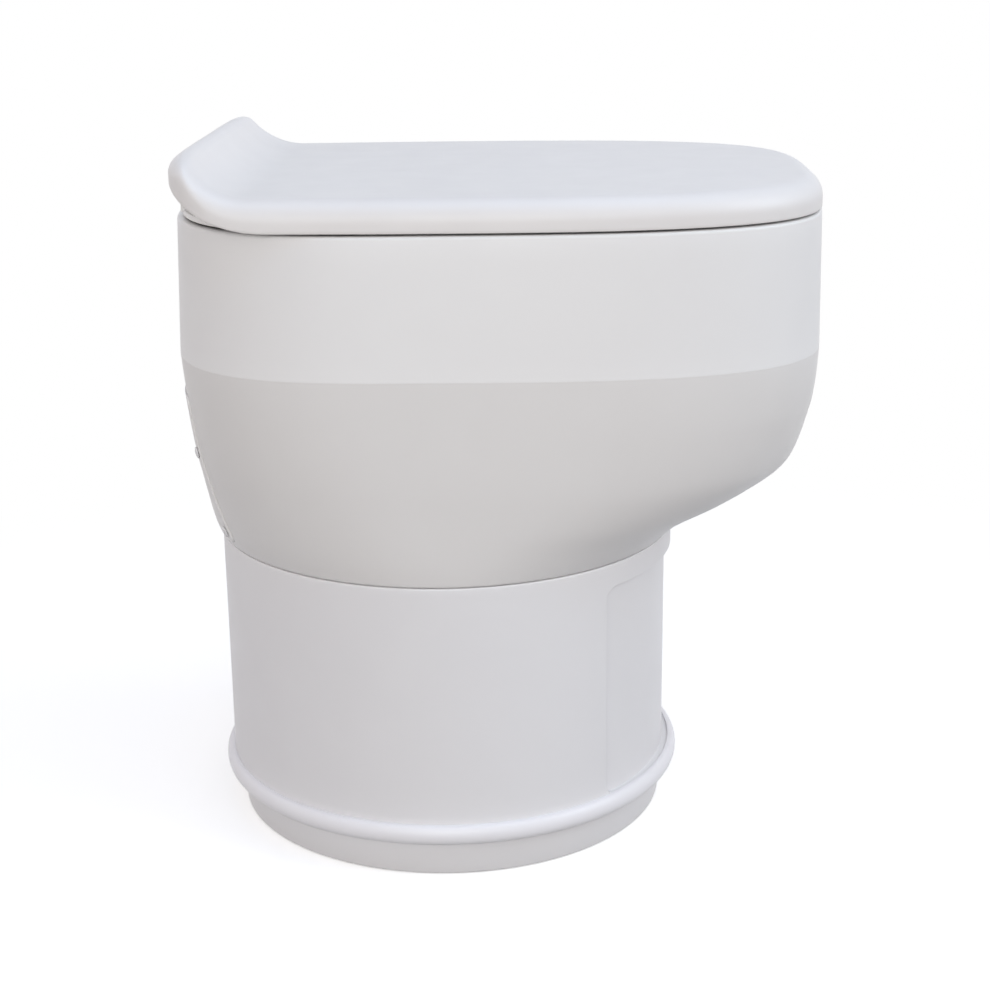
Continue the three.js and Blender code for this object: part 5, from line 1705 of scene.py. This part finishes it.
class TOILET_OT_film(bpy.types.Operator):
    """Film sleeve that gathers into a twist, and the sealed bag under it"""

    bl_idname = "toilet.film"
    bl_label = "Film"

    def execute(self, context):
        low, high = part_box("film_sleeve")
        rim = 107.7 * MM
        curve = flowing(SLEEVE_SHARES)
        angles = [FULL_TURN * k / AROUND for k in range(AROUND)]

        def gathered(share, thick):
            """A ring of the sleeve, with folds that deepen and wind up towards the neck."""
            radius = rim * curve(share) - thick
            height = mix(low.z + 0.5 * MM, high.z - 1.2 * MM, share) + thick
            slack = (1 - share) ** 1.4
            wind = 2.6 * (1 - share) ** 3
            depth = min(4.2 * MM * slack * min(1, share * 6 + 0.25), radius * 0.2)
            points = []
            for angle in angles:
                turn = angle + wind
                fold = (
                    math.sin(22 * turn)
                    + 0.55 * math.sin(13 * turn + 1.3 + 4 * share)
                    + 0.35 * math.sin(37 * turn + 0.4)
                )
                reach = radius - depth * (0.9 - 0.5 * fold) * 0.8
                points.append(round_point(reach, angle, height))
            return points

        shares = spread(0, 1, 64)
        rings = [gathered(share, 0.0) for share in shares]
        rings += [gathered(share, 0.8 * MM) for share in reversed(shares)]
        sleeve = skin("film_funnel", rings, capped=True)
        dress(sleeve, FINISHES["film"], "base", "film", "film_sleeve")

        low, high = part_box("sealed_bag")
        body = flowing(BAG_SHARES)
        rings = []
        for share in spread(0, 1, 60):
            radius = 95 * MM * body(share)
            height = mix(low.z, high.z, share)
            crumple = 1.6 * MM * math.sin(math.pi * min(1, share * 1.2)) + 0.3 * MM
            wind = 3 * max(0.0, share - 0.45)
            points = []
            for angle in angles:
                turn = angle + wind
                fold = (
                    math.sin(17 * turn + 3 * share)
                    + 0.6 * math.sin(9 * turn - 8 * share)
                    + 0.5 * math.sin(31 * turn + 14 * share)
                )
                reach = radius - min(crumple, radius * 0.08) * (1.0 - 0.45 * fold)
                points.append(round_point(reach, angle, height))
            rings.append(points)
        bag = skin("sealed_packet", rings, capped=True)
        dress(bag, FINISHES["film"], "turntable", "film", "sealed_bag")
        return {"FINISHED"}


class TOILET_OT_bucket(bpy.types.Operator):
    """Bucket on the turntable that holds the sealed bag"""

    bl_idname = "toilet.bucket"
    bl_label = "Bucket"

    def execute(self, context):
        low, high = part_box("waste_bucket")
        bottom, top, wall, lip = 106 * MM, 117 * MM, 2.5 * MM, 4 * MM
        profile = [
            (0, low.z),
            (bottom, low.z),
            (top, high.z - lip),
            (top + lip, high.z - lip),
            (top + lip, high.z),
            (top - wall, high.z),
            (bottom - wall, low.z + wall),
            (0, low.z + wall),
        ]
        bucket = turned("waste_pail", eased(profile, 1.6 * MM))
        dress(bucket, FINISHES["bucket"], "turntable", "bucket_plastic", "waste_bucket")
        return {"FINISHED"}


class TOILET_OT_works(bpy.types.Operator):
    """Finishes of the parts inside that keep their own shapes, and the filter's felt"""

    bl_idname = "toilet.works"
    bl_label = "Works inside"

    def execute(self, context):
        kept = {
            "inner": ("chassis_plate", "fan_impeller"),
            "steel": (
                "spindle",
                "output_shaft",
                "motor_bracket",
                "drive_motor",
                "fan_motor",
            ),
            "gear": ("thrust_washer", "turntable", "drive_pinion"),
            "housing": ("gearbox", "fan_housing", "button_switch"),
            "wrap": ("battery_pack",),
            "board": ("control_board",),
        }
        for finish, names in kept.items():
            for name in names:
                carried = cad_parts[name]
                carried.data.materials.clear()
                carried.data.materials.append(FINISHES[finish])
        low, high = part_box("carbon_filter")
        middle = (low + high) / 2
        radius = (high.x - low.x) / 2
        near, far = [(0, low.y)], [(0, high.y)]
        for k in range(8):
            out, dent = radius * (k + 0.5) / 8, 0.9 * MM if k % 2 else 0.0
            near.append((out, low.y + dent))
            far.append((out, high.y - dent))
        near += [(radius - 0.6 * MM, low.y + 0.3 * MM), (radius, low.y + 1.4 * MM)]
        far += [(radius - 0.6 * MM, high.y - 0.3 * MM), (radius, high.y - 1.4 * MM)]
        profile = [*near, *reversed(far)]
        felt = turned("filter_pad", profile, SMALL_STEPS * 2, (middle.x, middle.z), "Y")
        dress(felt, FINISHES["felt"], "base", "filter_felt", "carbon_filter")
        return {"FINISHED"}


# Stage


# Each lamp's place and width in metres, its power in watts and its colour
LAMPS = (
    ("overhead", (-0.3, -0.2, 2.6), 2.4, 17.6, "#bcdbff"),
    ("window", (-0.6, -2.4, 1.9), 2.0, 23.3, "#e5f5ff"),
    ("fill", (-2.7, 0.2, 1.0), 2.0, 22.2, "#fdfff9"),
)
LAMP_TARGET = (0, 0, 0.3)

# The camera fitted to the photograph's outline, seams and round pedestal
CAMERA_DISTANCE = 1440 * MM
CAMERA_LEVEL = 682.9 * MM
CAMERA_AZIMUTH = math.radians(2.907)
CAMERA_YAW = math.radians(-1.522)
CAMERA_PITCH = math.radians(16.897)
CAMERA_ROLL = math.radians(-0.715)
SENSOR_WIDTH = 36
FOCAL_PIXELS, PICTURE_PIXELS = 1879.6, 990


def looked_at(material):
    """1 where the camera sees a place, straight or in metal or clear film, else 0."""
    path = node(material, "ShaderNodeLightPath")
    direct = path.outputs["Is Camera Ray"]
    for ray in ("Is Glossy Ray", "Is Transmission Ray"):
        either = node(
            material,
            "ShaderNodeMath",
            {"operation": "MAXIMUM"},
            {0: direct, 1: path.outputs[ray]},
        )
        direct = either.outputs[0]
    return direct


class TOILET_OT_stage(bpy.types.Operator):
    """Floor, light, camera and colour management"""

    bl_idname = "toilet.stage"
    bl_label = "Stage"

    def execute(self, context):
        scene = context.scene
        scene.view_settings.view_transform = "Standard"
        backdrop = scene.toilet_colours.backdrop

        clear_hands()
        bpy.ops.mesh.primitive_circle_add(vertices=96, radius=14, fill_type="NGON")
        floor = bpy.context.object
        floor.name = floor.data.name = "floor"
        material = bpy.data.materials.new("matt_white_floor")
        material.use_nodes = True
        material.node_tree.nodes.clear()
        # Matt grey card for the light it sends back up. The camera sees it paler, and it
        # fades into the backdrop away from the object, so only the soft shadow shows.
        card = node(material, "ShaderNodeBsdfDiffuse", {"Color": paint("#757474")})
        pale = node(material, "ShaderNodeBsdfDiffuse", {"Color": paint("#f4f4f4")})
        glow = node(
            material, "ShaderNodeEmission", {"Color": tuple(backdrop), "Strength": 0.45}
        )
        lit = node(
            material,
            "ShaderNodeAddShader",
            links={0: pale.outputs[0], 1: glow.outputs[0]},
        )
        open_air = node(
            material, "ShaderNodeEmission", {"Color": tuple(backdrop), "Strength": 1.0}
        )
        spot = node(material, "ShaderNodeTexCoord").outputs["Object"]
        away = node(
            material, "ShaderNodeVectorMath", {"operation": "LENGTH"}, {0: spot}
        )
        fade = node(
            material,
            "ShaderNodeMapRange",
            {"interpolation_type": "SMOOTHSTEP", "From Min": 0.3, "From Max": 0.95},
            {"Value": away.outputs["Value"]},
        )
        shown = node(
            material,
            "ShaderNodeMixShader",
            links={0: fade.outputs[0], 1: lit.outputs[0], 2: open_air.outputs[0]},
        )
        seen = node(
            material,
            "ShaderNodeMixShader",
            links={0: looked_at(material), 1: card.outputs[0], 2: shown.outputs[0]},
        )
        node(
            material, "ShaderNodeOutputMaterial", links={"Surface": seen.outputs[0]}
        )
        floor.data.materials.append(material)

        world = bpy.data.worlds.new("studio")
        scene.world = world
        world.use_nodes = True
        world.node_tree.nodes.clear()
        place = node(world, "ShaderNodeTexCoord").outputs["Generated"]
        split = node(world, "ShaderNodeSeparateXYZ", links={0: place})
        strength = node(
            world,
            "ShaderNodeMapRange",
            {"To Min": 1.38, "To Max": 0.0},
            {"Value": split.outputs["Z"]},
        )
        around = node(
            world,
            "ShaderNodeBackground",
            {"Color": paint("#fff8f9")},
            {"Strength": strength.outputs[0]},
        )
        behind = node(
            world, "ShaderNodeBackground", {"Color": tuple(backdrop), "Strength": 1.0}
        )
        chosen = node(
            world,
            "ShaderNodeMixShader",
            links={0: looked_at(world), 1: around.outputs[0], 2: behind.outputs[0]},
        )
        node(world, "ShaderNodeOutputWorld", links={"Surface": chosen.outputs[0]})

        for name, where, width, power, colour in LAMPS:
            bpy.ops.object.light_add(type="AREA", location=where)
            lamp = bpy.context.object
            lamp.name = name
            lamp.data.shape = "DISK"
            lamp.data.size = width
            lamp.data.energy = power
            lamp.data.color = paint(colour)[:3]
            aim = Vector(LAMP_TARGET) - Vector(where)
            lamp.rotation_euler = aim.to_track_quat("-Z", "Y").to_euler()

        spot = Vector(
            (
                -CAMERA_DISTANCE * math.cos(CAMERA_AZIMUTH),
                AXIS_Y - CAMERA_DISTANCE * math.sin(CAMERA_AZIMUTH),
                CAMERA_LEVEL,
            )
        )
        heading, level = CAMERA_AZIMUTH + CAMERA_YAW, math.cos(CAMERA_PITCH)
        ahead = Vector(
            (
                math.cos(heading) * level,
                math.sin(heading) * level,
                -math.sin(CAMERA_PITCH),
            )
        )
        level_right = ahead.cross(Vector((0, 0, 1))).normalized()
        level_up = level_right.cross(ahead)
        lean, tilt = math.cos(CAMERA_ROLL), math.sin(CAMERA_ROLL)
        right = level_right * lean + level_up * tilt
        up = level_up * lean - level_right * tilt
        bpy.ops.object.camera_add(location=spot)
        camera = bpy.context.object
        camera.name = "photo_camera"
        turn = Matrix((right, up, -ahead)).transposed()
        camera.matrix_world = Matrix.Translation(spot) @ turn.to_4x4()
        camera.data.sensor_width = SENSOR_WIDTH
        camera.data.lens = FOCAL_PIXELS / PICTURE_PIXELS * SENSOR_WIDTH
        camera.data.clip_start = 0.05
        camera.data.clip_end = 60
        scene.camera = camera
        return {"FINISHED"}


OPERATORS = (
    TOILET_OT_lid,
    TOILET_OT_seat,
    TOILET_OT_band,
    TOILET_OT_bowl,
    TOILET_OT_back_panel,
    TOILET_OT_pedestal,
    TOILET_OT_foot,
    TOILET_OT_button,
    TOILET_OT_funnel,
    TOILET_OT_cassette,
    TOILET_OT_film,
    TOILET_OT_bucket,
    TOILET_OT_works,
    TOILET_OT_stage,
)


class TOILET_PT_panel(bpy.types.Panel):
    """Lists the toilet's pieces"""

    bl_label = "Sealing toilet"
    bl_space_type = "VIEW_3D"
    bl_region_type = "UI"
    bl_category = "Toilet"

    def draw(self, context):
        for group in (context.scene.toilet_sizes, context.scene.toilet_colours):
            box = self.layout.box()
            for name in group.bl_rna.properties.keys():
                if name not in {"rna_type", "name"}:
                    box.prop(group, name)
        column = self.layout.column(align=True)
        for operator in OPERATORS:
            column.operator(operator.bl_idname, text=operator.bl_label)


CLASSES = (ToiletSizes, ToiletColours, *OPERATORS, TOILET_PT_panel)


def register():
    for cls in CLASSES:
        bpy.utils.register_class(cls)
    bpy.types.Scene.toilet_sizes = PointerProperty(type=ToiletSizes)
    bpy.types.Scene.toilet_colours = PointerProperty(type=ToiletColours)


def unregister():
    del bpy.types.Scene.toilet_sizes
    del bpy.types.Scene.toilet_colours
    for cls in reversed(CLASSES):
        bpy.utils.unregister_class(cls)


def main():
    register()
    FINISHES.update(finishes())
    for operator in OPERATORS:
        group, name = operator.bl_idname.split(".")
        getattr(getattr(bpy.ops, group), name)()


if __name__ == "__main__":
    main()
